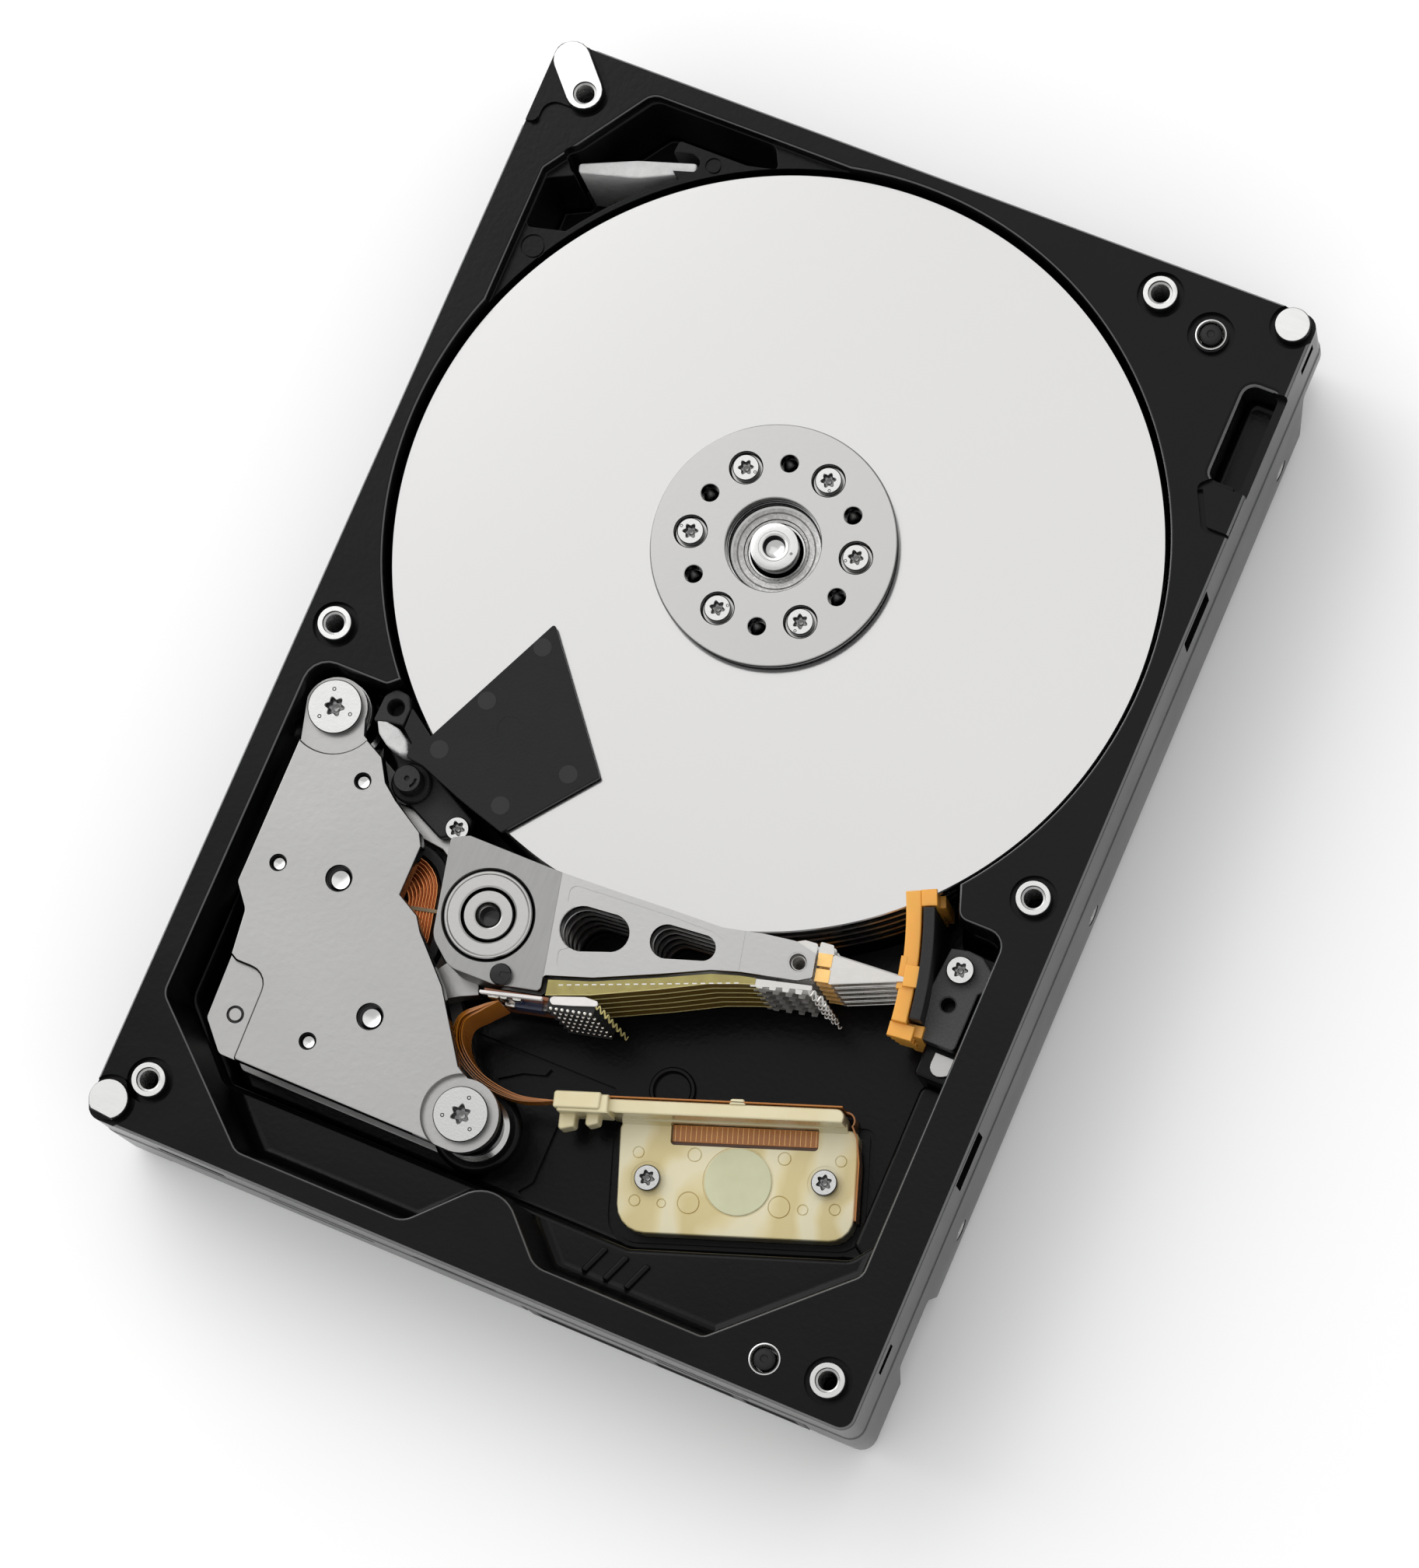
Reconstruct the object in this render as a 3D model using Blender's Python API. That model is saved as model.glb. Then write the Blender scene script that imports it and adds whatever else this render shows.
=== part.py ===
"""Hard disk drive of the 3.5 inch size, with its cover off.

Frame: X across the drive, Y from the connector end to the disc end, Z up,
origin at the middle of the underside. Sizes below are in millimetres, and
every mesh is scaled to metres as it is made.
"""
import math

import bpy
import bmesh

MM = 0.001
GAP = 0.3               # clearance kept between pieces that touch
FAR = 40.0              # reach of a cutter that leaves the part

# Overall size of the casting
LENGTH = 146.0
WIDTH = 101.6
DECK_Z = 24.4           # face the cover lies on
PAD_Z = 25.4            # machined pads and screw bosses that stand above it
FLOOR_Z = 6.0           # floor of the actuator well
SHELF_Z = 14.0          # shelf around that floor
RAIL_HOLE_Z = 6.35      # side mounting holes, above the underside
SIDE_HOLES_Y = (-44.0, -2.4, 57.6)
BOTTOM_HOLES_X = 47.625
BOTTOM_HOLES_Y = (-31.2, 13.25)
BOSSES = ((31.6, 68.6), (-46.4, -6.1), (46.1, -5.9), (-44.5, -66.1), (45.9, -68.0))
PORTS = ((39.2, 66.1), (37.9, -68.5))
PLUG_R = 1.3
THREAD_R = 1.4          # side and bottom mounting holes, tapped 6-32

# Spindle and discs
SPINDLE = (-0.3, 22.8)
DISC_R = 47.5
DISC_THICK = 1.27
DISC_COUNT = 5
PITCH = 3.1
STACK_TOP_Z = 22.0
HUB_R = 12.35
CLAMP_R = 15.2
CLAMP_TOP_Z = 24.0
CLAMP_SCREW_R = 10.3
WELL_R = 48.2

# Actuator, in a frame with X along the arms and its origin on the pivot
PIVOT = (-14.5, -32.0)
PARKED_DEG = 13.2
ARM_PLANE_Z = STACK_TOP_Z - DISC_THICK / 2 + PITCH / 2
ARM_COUNT = 6
ARM_HALF = 0.5
TIP_HALF = 0.2
BLOCK_Z = (6.8, 23.5)
COIL_Z = (13.4, 16.6)
SWAGE_X = 38.2
FLEX_PIN = (3.0, -7.0)

# Voice-coil motor
VCM_SCREWS = ((-42.8, -15.3), (-8.0, -55.4))
TOP_YOKE_Z = (20.1, 22.6)
LOW_YOKE_Z = (6.3, 9.3)
YOKE_DIMPLES = ((-33.6, -34.6, 1.6), (-23.1, -48.7, 1.6),
                (-35.8, -22.5, 1.0), (-41.4, -35.6, 1.0), (-29.0, -54.3, 1.0))

# Screws of the small pieces
SPOILER_SCREW = (-24.4, -23.0)
RAMP_SCREW = (40.6, -16.5)

# Flex bracket, in a frame of its own
FLEX_BRACKET = (24.0, -49.3)
FLEX_BRACKET_DEG = 19.5

MATERIALS = {
    "black_cast": ((0.012, 0.012, 0.013), 0.35, 0.0),
    "machined": ((0.78, 0.78, 0.77), 0.30, 1.0),
    "mirror_disc": ((0.90, 0.90, 0.89), 0.08, 1.0),
    "steel": ((0.62, 0.62, 0.60), 0.28, 1.0),
    "nickel": ((0.60, 0.60, 0.58), 0.42, 1.0),
    "aluminium": ((0.70, 0.70, 0.69), 0.38, 1.0),
    "magnet": ((0.45, 0.45, 0.46), 0.35, 1.0),
    "copper": ((0.62, 0.26, 0.12), 0.35, 1.0),
    "black_plastic": ((0.02, 0.02, 0.02), 0.55, 0.0),
    "cream_plastic": ((0.82, 0.74, 0.52), 0.30, 0.0),
    "ramp_plastic": ((0.85, 0.58, 0.20), 0.40, 0.0),
    "amber_film": ((0.55, 0.22, 0.03), 0.30, 0.0),
    "filter_cloth": ((0.72, 0.72, 0.71), 0.90, 0.0),
    "rubber": ((0.015, 0.015, 0.015), 0.75, 0.0),
    "board": ((0.02, 0.10, 0.05), 0.45, 0.0),
    "chip": ((0.02, 0.02, 0.022), 0.50, 0.0),
}


def clear_scene():
    for old in list(bpy.data.objects):
        bpy.data.objects.remove(old, do_unlink=True)


def material(name):
    """The named Principled material, made once."""
    found = bpy.data.materials.get(name)
    if found:
        return found
    colour, rough, metal = MATERIALS[name]
    made = bpy.data.materials.new(name)
    made.use_nodes = True
    shader = made.node_tree.nodes["Principled BSDF"]
    shader.inputs["Base Color"].default_value = (*colour, 1.0)
    shader.inputs["Roughness"].default_value = rough
    shader.inputs["Metallic"].default_value = metal
    return made


# --- outlines -------------------------------------------------------------

def arc(centre, radius, start, end, steps):
    """Points on an arc, angles in degrees, both ends included."""
    points = []
    for i in range(steps + 1):
        a = math.radians(start + (end - start) * i / steps)
        points.append((centre[0] + radius * math.cos(a), centre[1] + radius * math.sin(a)))
    return points


def circle(centre, radius, steps):
    return arc(centre, radius, 0, 360, steps)[:-1]


def rounded(corners, steps=4):
    """Outline through corners given as (x, y) or (x, y, radius)."""
    points = []
    count = len(corners)
    for i, corner in enumerate(corners):
        if len(corner) == 2:
            points.append(corner)
            continue
        x, y, radius = corner
        ux, uy = unit(x, y, corners[i - 1])
        vx, vy = unit(x, y, corners[(i + 1) % count])
        half = math.acos(max(-1.0, min(1.0, ux * vx + uy * vy))) / 2
        reach = radius / math.tan(half)
        bx, by = ux + vx, uy + vy
        scale = radius / math.sin(half) / math.hypot(bx, by)
        cx, cy = x + bx * scale, y + by * scale
        a0 = math.atan2(y + uy * reach - cy, x + ux * reach - cx)
        a1 = math.atan2(y + vy * reach - cy, x + vx * reach - cx)
        turn = (a1 - a0 + math.pi) % (2 * math.pi) - math.pi
        for k in range(steps + 1):
            a = a0 + turn * k / steps
            points.append((cx + radius * math.cos(a), cy + radius * math.sin(a)))
    return points


def unit(x, y, other):
    """Direction from a point to another corner."""
    dx, dy = other[0] - x, other[1] - y
    size = math.hypot(dx, dy)
    return dx / size, dy / size


def placed(points, origin, degrees):
    """Outline turned about its own origin and moved to a place."""
    c, s = math.cos(math.radians(degrees)), math.sin(math.radians(degrees))
    return [(origin[0] + c * x - s * y, origin[1] + s * x + c * y) for x, y in points]


def stadium(a, b, radius_a, radius_b, steps=8):
    """Rounded slot between two centres, which may have different radii."""
    heading = math.degrees(math.atan2(b[1] - a[1], b[0] - a[0]))
    return (arc(b, radius_b, heading - 90, heading + 90, steps)
            + arc(a, radius_a, heading + 90, heading + 270, steps))


def sector(centre, inner, outer, start, end, steps):
    """Slice of a ring."""
    return arc(centre, outer, start, end, steps) + arc(centre, inner, end, start, steps)


def ribbon(route, half):
    """Outline of a strip of even width along a route."""
    left, right = [], []
    last = len(route) - 1
    for i, (x, y) in enumerate(route):
        ax, ay = route[max(i - 1, 0)]
        bx, by = route[min(i + 1, last)]
        size = math.hypot(bx - ax, by - ay)
        nx, ny = -(by - ay) / size * half, (bx - ax) / size * half
        left.append((x + nx, y + ny))
        right.append((x - nx, y - ny))
    return right + left[::-1]


# --- solids: each is a pair of point and face lists -----------------------

def prism(outline, low, high):
    count = len(outline)
    points = [(x, y, low) for x, y in outline] + [(x, y, high) for x, y in outline]
    faces = [tuple(range(count))[::-1], tuple(range(count, 2 * count))]
    for i in range(count):
        j = (i + 1) % count
        faces.append((i, j, count + j, count + i))
    return points, faces


def cylinder(centre, radius, low, high, steps=24):
    return prism(circle(centre, radius, steps), low, high)


def box(x0, x1, y0, y1, z0, z1):
    return prism([(x0, y0), (x1, y0), (x1, y1), (x0, y1)], z0, z1)


def across(outline, low, high):
    """Prism along X of an outline given as (y, z)."""
    points, faces = prism(outline, low, high)
    return [(c, a, b) for a, b, c in points], faces


def along(outline, low, high):
    """Prism along Y of an outline given as (x, z)."""
    points, faces = prism(outline, low, high)
    return [(a, c, b) for a, b, c in points], faces


def turned(profile, centre, steps):
    """Profile of (radius, z) turned about a vertical axis."""
    points, rings, faces = [], [], []
    for radius, z in profile:
        if radius == 0:
            rings.append([len(points)] * steps)
            points.append((centre[0], centre[1], z))
            continue
        rings.append(list(range(len(points), len(points) + steps)))
        points.extend((x, y, z) for x, y in circle(centre, radius, steps))
    for k in range(len(rings)):
        lower, upper = rings[k], rings[(k + 1) % len(rings)]
        for i in range(steps):
            j = (i + 1) % steps
            face = list(dict.fromkeys((lower[i], lower[j], upper[j], upper[i])))
            if len(face) > 2:
                faces.append(tuple(face))
    return points, faces


def ring(centre, inner, outer, low, high, steps=24):
    return turned([(inner, low), (outer, low), (outer, high), (inner, high)], centre, steps)


def add(name, solids, finish, parent=None):
    """Object made of one or more closed solids that don't meet."""
    points, faces = [], []
    for some_points, some_faces in solids:
        base = len(points)
        points.extend((x * MM, y * MM, z * MM) for x, y, z in some_points)
        faces.extend(tuple(base + i for i in face) for face in some_faces)
    mesh = bpy.data.meshes.new(name)
    mesh.from_pydata(points, [], faces)
    work = bmesh.new()
    work.from_mesh(mesh)
    bmesh.ops.recalc_face_normals(work, faces=work.faces[:])
    work.to_mesh(mesh)
    work.free()
    mesh.shade_smooth()
    mesh.set_sharp_from_angle(angle=math.radians(35))
    mesh.materials.append(material(finish))
    made = bpy.data.objects.new(name, mesh)
    bpy.context.collection.objects.link(made)
    made.parent = parent
    return made


def shape_with(target, solids, operation, label):
    """Boolean of a target with solids that don't overlap each other."""
    tool = add(f"{target.name}_{label}", solids, "black_cast", target.parent)
    tool.hide_render = True
    tool.display_type = "WIRE"
    change = target.modifiers.new(label, "BOOLEAN")
    change.operation = operation
    change.object = tool


def cut(target, solids, label):
    shape_with(target, solids, "DIFFERENCE", label)


def join(target, solids, label):
    shape_with(target, solids, "UNION", label)


def axis_empty(name, place, degrees=0.0):
    """Parent for the pieces that turn about one axis."""
    empty = bpy.data.objects.new(name, None)
    bpy.context.collection.objects.link(empty)
    empty.location = (place[0] * MM, place[1] * MM, 0.0)
    empty.rotation_euler = (0.0, 0.0, math.radians(degrees))
    return empty


# --- base casting ---------------------------------------------------------

def actuator_well():
    """Edge of the wide well at the connector end, as cut through the deck."""
    bump = arc((0.0, -67.2), 4.6, 140, 40, 6)
    return (rounded([(-34.0, 4.0), (-34.0, -7.5), (-37.5, -10.6, 1.0), (-47.3, -10.6, 3.0),
                     (-47.3, -55.6, 2.0), (-31.2, -69.9, 2.0), (-9.0, -69.9, 3.0)])
            + bump
            + rounded([(8.0, -68.8, 3.0), (30.0, -68.8, 1.5), (44.7, -55.0, 2.0),
                       (44.7, -11.3, 2.0), (38.6, -11.3, 1.5), (36.9, -6.5), (30.0, 4.0)]))


def deep_floor():
    """Edge of the deeper floor inside that well."""
    return rounded([(-34.0, 4.0), (-34.0, -7.5), (-37.5, -10.8, 1.0), (-47.2, -10.8, 3.0),
                    (-46.6, -54.0, 2.0), (-38.2, -62.2, 1.5), (15.3, -62.2, 1.5),
                    (43.9, -51.6, 2.0), (44.5, -11.5, 2.0), (38.6, -11.5, 1.5),
                    (36.9, -6.7), (30.0, 4.0)])


def filter_recess():
    """Corner recess beside the discs for the recirculation filter."""
    return rounded([(-45.4, 36.0), (-30.0, 36.0), (-8.0, 60.0), (-8.0, 69.8),
                    (-36.6, 69.8, 2.0), (-45.4, 56.3, 1.0)])


def filter_pocket():
    """Deep part of that recess, outside the thin wall around the discs."""
    wall = arc(SPINDLE, WELL_R + 0.7, 147, 115, 8)
    return rounded([(-20.2, 69.5, 1.0), (-36.4, 69.5, 1.6), (-45.1, 56.0, 1.0),
                    (-45.1, 49.4, 1.0)]) + wall


def base_casting():
    half_x, half_y = WIDTH / 2, LENGTH / 2
    outline = rounded([(-half_x, -half_y, 2.0), (half_x, -half_y, 2.0),
                       (half_x, half_y, 2.0), (-half_x, half_y, 2.0)])
    base = add("base_casting", [prism(outline, 0.0, DECK_Z)], "black_cast")
    corner_pad = stadium((-47.9, 70.4), (-44.8, 67.1), 2.4, 2.4)
    chord_pad = arc((-48.1, -70.1), 2.5, -60, 230, 14)
    pads = [prism(corner_pad, 20.0, PAD_Z),
            cylinder((48.0, 70.6), 2.2, 20.0, PAD_Z),
            prism(chord_pad, 20.0, PAD_Z)]
    join(base, pads + [cylinder(c, 2.2, 20.0, PAD_Z, 20) for c in BOSSES], "pads")
    cut(base, [cylinder(SPINDLE, WELL_R, 5.4, FAR, 80)], "disc_well")
    cut(base, [prism(actuator_well(), SHELF_Z, FAR)], "well")
    cut(base, [prism(deep_floor(), FLOOR_Z, FAR + 1)], "floor")
    cut(base, [prism(filter_recess(), 19.5, FAR)], "recess")
    cut(base, [prism(filter_pocket(), 8.0, FAR + 1)], "pocket")
    slot = rounded([(45.8, 49.4, 1.0), (49.8, 49.4), (49.8, 61.8), (45.8, 61.8, 1.4)])
    cut(base, [prism(slot, 14.0, FAR)], "edge_slot")
    cut(base, [box(49.0, FAR + 20, 49.4, 61.8, 22.6, FAR)], "edge_lip")
    board_bay = [(-43.9, -FAR * 2), (43.9, -FAR * 2), (43.9, 7.6), (-43.9, 7.6)]
    cut(base, [prism(board_bay, -5.0, 4.2)], "board_bay")
    cut(base, [box(-43.9, 43.9, 9.6, 70.0, -5.0, 3.2)], "motor_bay")
    cut(base, [box(5.2, 43.0, -FAR * 2, -63.0, -6.0, 9.4)], "connector_bay")
    notch = [(-64.5, -5.0), (-64.5, 0.0), (-62.2, 9.0), (-53.6, 9.0), (-51.6, 0.0), (-51.6, -5.0)]
    end = [(62.6, -5.0), (62.6, 0.0), (65.8, 12.5), (90.0, 12.5), (90.0, -5.0)]
    rails = [across(shape, side * 46.6, side * 60.0) for side in (1, -1) for shape in (notch, end)]
    cut(base, rails, "rails")
    foot_x = half_x - 0.6
    lean = [(foot_x, -1.0), (foot_x, 0.0), (half_x, 3.2), (half_x + 5, 3.2), (half_x + 5, -1.0)]
    mirror = [(-x, z) for x, z in lean]
    cut(base, [along(lean, -90.0, 90.0), along(mirror, -90.0, 90.0)], "lean")
    holes = [cylinder(c, 1.3, 16.0, FAR, 12) for c in BOSSES]
    holes.append(cylinder((-44.6, 66.9), 1.3, 16.0, FAR, 12))
    holes.extend(cylinder(c, PLUG_R + 0.6, 20.0, FAR, 16) for c in PORTS)
    for x in (-BOTTOM_HOLES_X, BOTTOM_HOLES_X):
        holes.extend(cylinder((x, y), THREAD_R, -5.0, 4.0, 12) for y in BOTTOM_HOLES_Y)
    cut(base, holes, "holes")
    side = []
    for y in SIDE_HOLES_Y:
        outline = circle((y, RAIL_HOLE_Z), THREAD_R, 12)
        side.append(across(outline, half_x - 4.0, half_x + 5))
        side.append(across(outline, -half_x - 5, -half_x + 4.0))
    cut(base, side, "side_holes")
    latches = [box(half_x - 0.9, half_x + 5, y, y + 7.0, 18.6, FAR) for y in (-40.9, 29.7)]
    cut(base, latches, "side_recesses")
    ramp_seat = rounded([(39.5, -29.7, 0.6), (44.9, -29.7), (44.9, -13.2), (39.5, -13.2)])
    seats = [ring(SPINDLE, 3.4, 8.5, 5.0, 7.3, 24),
             prism(ramp_seat, 5.0, 16.0),
             ring((8.7, -41.2), 2.3, 2.9, 5.0, 6.6, 20)]
    join(base, seats, "seats")
    cut(base, [cylinder(RAMP_SCREW, 1.1, 11.0, FAR, 12)], "ramp_hole")
    return base


# --- spindle --------------------------------------------------------------

def disc_top(i):
    return STACK_TOP_Z - PITCH * i


def spindle_parts(axis):
    add("spindle_shaft", [turned([(0, 5.7), (3.0, 5.7), (3.0, 22.6), (2.4, 23.0), (1.3, 23.0),
                                  (1.3, 21.6), (0, 21.6)], SPINDLE, 24)], "steel")
    add("spindle_stator", [ring(SPINDLE, 4.0, 9.6, 7.6, 12.2, 24)], "copper")
    lowest = disc_top(DISC_COUNT - 1) - DISC_THICK
    hub = add("spindle_hub", [turned([(10.2, 7.0), (15.0, 7.0), (15.0, lowest - GAP),
                                      (HUB_R, lowest - GAP), (HUB_R, STACK_TOP_Z), (5.6, STACK_TOP_Z),
                                      (5.6, 20.8), (3.3, 20.8), (3.3, 13.2), (10.2, 13.2)],
                                     (0, 0), 36)], "steel", axis)
    places = [clamp_place(k) for k in range(6)]
    cut(hub, [cylinder(p, 1.2, 17.4, FAR, 8) for p in places], "screw_holes")
    for i in range(DISC_COUNT):
        top = disc_top(i)
        add(f"disc_{i + 1}", [ring((0, 0), HUB_R + GAP, DISC_R, top - DISC_THICK, top, 60)],
            "mirror_disc", axis)
        if i:
            low, high = top + GAP, top + PITCH - DISC_THICK - GAP
            add(f"disc_spacer_{i}", [ring((0, 0), HUB_R + GAP, CLAMP_R, low, high)],
                "aluminium", axis)
    clamp = add("disc_clamp", [turned([(5.9, STACK_TOP_Z + GAP), (CLAMP_R - 0.4, STACK_TOP_Z + GAP),
                                       (CLAMP_R, CLAMP_TOP_Z - 0.3), (CLAMP_R - 0.3, CLAMP_TOP_Z),
                                       (5.9, CLAMP_TOP_Z)], (0, 0), 44)], "machined", axis)
    cut(clamp, [cylinder(p, 2.0, 23.1, FAR, 12) for p in places], "counterbores")
    plain = [cylinder(clamp_place(k + 0.5), 1.1, 20.0, FAR, 10) for k in range(6)]
    cut(clamp, [cylinder(p, 1.2, 20.0, FAR + 1, 10) for p in places] + plain, "clamp_holes")
    for k, place in enumerate(places):
        add(f"clamp_screw_{k + 1}", [screw(place, 17.8, 23.4, 0.8, 1.65)], "steel", axis)


def screw(place, low, seat, shank, head):
    """Screw from its tip up to a head that sits on a face at seat."""
    top = seat + 0.5 * head
    return turned([(0, low), (shank, low), (shank, seat), (head, seat), (head, top - 0.2),
                   (head - 0.2, top), (0, top)], place, 12)


def clamp_place(k):
    """Place on the clamp's screw circle, in sixths of a turn."""
    return arc((0, 0), CLAMP_SCREW_R, 12 + 60 * k, 12 + 60 * k, 1)[0]


# --- actuator -------------------------------------------------------------

def arm_plane(i):
    return ARM_PLANE_Z - PITCH * i


def block_outline():
    """Top view of the block and arms, with the pivot at the origin."""
    return rounded([(-4.0, 9.3, 0.6), (-6.3, 8.7, 0.6), (-6.3, -3.6, 3.0), (-3.6, -7.0, 3.0),
                    (2.0, -8.2, 1.0), (8.0, -8.2, 0.6), (8.0, -6.2, 0.4), (14.0, -5.6), (22.0, -3.9),
                    (28.0, -2.5), (31.5, -2.2), (38.2, -2.2, 1.0), (41.0, -1.2, 1.0), (41.0, 1.2, 1.0),
                    (37.6, 2.5, 1.0), (33.5, 2.8), (28.5, 2.8), (22.0, 4.0), (15.0, 5.2), (8.0, 6.5)], 2)


def coil_outline(grow):
    """Rounded trapezium of the coil, grown outwards by a distance."""
    inner, outer = 6.0 + grow, 12.0 + grow
    radius = 2.6 + max(grow, -1.8)
    return rounded([(-8.3 + grow, -inner, radius), (-8.3 + grow, inner, radius),
                    (-25.0 - grow, outer, radius), (-25.0 - grow, -outer, radius)])


def actuator_parts(axis):
    low, high = BLOCK_Z
    block = add("e_block", [prism(block_outline(), low, high)], "aluminium", axis)
    reach = arc((0, 0), 8.6, 80, -80, 8) + [(60.0, -20.0), (60.0, 20.0)]
    edges = [FAR] + [arm_plane(i) + side * ARM_HALF for i in range(ARM_COUNT) for side in (1, -1)]
    edges.append(-5.0)
    slots = [prism(reach[::-1], low_z, high_z) for high_z, low_z in zip(edges[::2], edges[1::2])]
    cut(block, slots, "disc_slots")
    thinning = []
    for i in range(ARM_COUNT):
        z = arm_plane(i)
        thinning.append(box(35.6, 60.0, -20.0, 20.0, z + TIP_HALF, z + 0.8))
        thinning.append(box(35.6, 60.0, -20.0, 20.0, z - 0.8, z - TIP_HALF))
    cut(block, thinning, "tips")
    through = [cylinder((0, 0), 5.7, -1.0, FAR + 2, 28), cylinder((SWAGE_X, 0), 1.05, -1.0, FAR + 2, 8),
               prism(stadium((11.7, 0.1), (15.1, 0.1), 2.8, 2.35, 4), -1.0, FAR + 2),
               prism(stadium((22.1, 0.1), (26.5, 0.0), 2.1, 1.6, 4), -1.0, FAR + 2)]
    cut(block, through, "through_holes")
    cut(block, [cylinder(FLEX_PIN, 0.9, 20.5, FAR, 8)], "pin_hole")
    seat_grow = 1.7
    fork_low, fork_high = COIL_Z[0] + 0.2, COIL_Z[1] - 0.2
    upper = [(-5.0, 8.6), (-11.0, 10.4), (-21.5, 14.9), (-21.5, 12.8), (-8.6, 8.3), (-5.0, 4.8)]
    lower = [(x, -y) for x, y in upper]
    lower[0], lower[-1] = (-2.4, -7.0), (-2.4, -6.2)
    join(block, [prism(upper, fork_low, fork_high), prism(lower, fork_low, fork_high)], "coil_fork")
    cut(block, [prism(coil_outline(seat_grow), COIL_Z[0] - 1, COIL_Z[1] + 1)], "coil_seat")
    add("bearing_sleeve", [ring((0, 0), 3.4, 5.4, low + 0.2, high + 0.2, 32)], "machined", axis)
    coil = add("voice_coil", [prism(coil_outline(0), *COIL_Z)], "copper", axis)
    cut(coil, [prism(coil_outline(-3.6), 0.0, FAR)], "window")
    former = add("coil_former", [prism(coil_outline(1.4), COIL_Z[0] + 0.4, COIL_Z[1] - 0.4)],
                 "black_plastic", axis)
    cut(former, [prism(coil_outline(GAP), 0.0, FAR)], "window")
    add("preamp_board", [box(1.0, 9.6, -9.1, -8.6, 9.0, 22.6)], "amber_film", axis)
    for i in range(ARM_COUNT):
        suspension(i, axis)
    add("flex_pin", [turned([(0, 21.0), (0.6, 21.0), (0.6, high + GAP), (1.35, high + GAP),
                             (1.35, high + 0.7), (1.0, high + 0.9), (0, high + 0.9)], FLEX_PIN, 12)],
        "black_plastic", axis)


def suspension(i, axis):
    """Head suspensions of one arm: the outer arms have one, the others a pair."""
    z = arm_plane(i)
    sides = [-1] if i == 0 else [1] if i == ARM_COUNT - 1 else [-1, 1]
    beam = [(36.0, -2.2), (41.8, -2.2), (43.0, -1.9), (50.0, -0.35), (51.8, -0.2),
            (51.8, 0.2), (50.0, 0.35), (43.0, 1.8), (40.2, 2.9), (36.0, 2.3)]
    near, far = TIP_HALF + 0.1, TIP_HALF + 0.3
    levels = [sorted((side * near, side * far)) for side in sides]
    heads = add(f"head_suspension_{i + 1}", [prism(beam, z + a, z + b) for a, b in levels],
                "steel", axis)
    reach = [-far + 0.02, far - 0.02]
    if len(sides) == 1:
        reach[0 if sides[0] > 0 else 1] = sides[0] * -0.1
    join(heads, [cylinder((SWAGE_X, 0), 0.8, z + reach[0], z + reach[1], 12)], "swage")
    sliders = [sorted((side * (far - 0.05), side * (far + 0.3))) for side in sides]
    join(heads, [box(47.0, 48.2, -0.4, 0.4, z + a, z + b) for a, b in sliders], "sliders")


# --- voice-coil motor -----------------------------------------------------

def yoke_outline():
    a, b = VCM_SCREWS
    return (arc(a, 3.9, 0, 180, 10)
            + rounded([(-45.3, -20.4), (-45.2, -39.6, 1.0), (-42.9, -42.4, 1.5), (-42.2, -48.0),
                       (-42.1, -56.0, 1.0), (-38.6, -59.7, 1.0), (-12.5, -59.8)])
            + arc(b, 4.5, -95, 105, 12)
            + rounded([(-10.6, -50.2), (-16.4, -42.0), (-21.6, -36.9), (-22.8, -35.2), (-25.8, -33.6),
                       (-25.8, -27.2), (-26.7, -25.7), (-31.0, -23.2), (-33.1, -21.6),
                       (-34.8, -18.9), (-38.2, -17.2)]))


def voice_coil_motor():
    low, high = TOP_YOKE_Z
    top = add("vcm_top_yoke", [prism(yoke_outline(), low, high)], "nickel")
    cut(top, [cylinder(c, 4.9, high - 0.8, FAR, 24) for c in VCM_SCREWS], "ears")
    dimples = [cylinder((x, y), r, high - 1.2, FAR, 12) for x, y, r in YOKE_DIMPLES]
    cut(top, dimples, "dimples")
    cut(top, [cylinder(c, 1.9, 0.0, FAR + 1, 16) for c in VCM_SCREWS], "screw_holes")
    bottom = add("vcm_bottom_yoke", [prism(yoke_outline(), *LOW_YOKE_Z)], "nickel")
    cut(bottom, [cylinder(c, 1.9, 0.0, FAR, 16) for c in VCM_SCREWS], "screw_holes")
    face = sector(PIVOT, 12.4, 25.8, 174, 254, 10)
    add("vcm_top_magnet", [prism(face, COIL_Z[1] + 0.5, low - GAP)], "magnet")
    add("vcm_bottom_magnet", [prism(face, LOW_YOKE_Z[1] + GAP, COIL_Z[0] - 0.5)], "magnet")
    for mark, place in zip("ab", VCM_SCREWS):
        add(f"vcm_post_{mark}", [ring(place, 1.9, 4.2, LOW_YOKE_Z[1] + GAP, low - GAP, 24)], "steel")
        seat = high - 0.8 + GAP
        add(f"vcm_screw_{mark}", [screw(place, 6.5, seat, 1.6, 3.15)], "steel")
    add("pivot_shaft", [turned([(0, FLOOR_Z + GAP), (3.1, FLOOR_Z + GAP), (3.1, 23.5), (1.6, 23.5),
                                (1.0, 22.9), (1.0, 20.0), (0, 20.0)], PIVOT, 24)], "steel")


# --- small pieces in the wells --------------------------------------------

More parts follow.
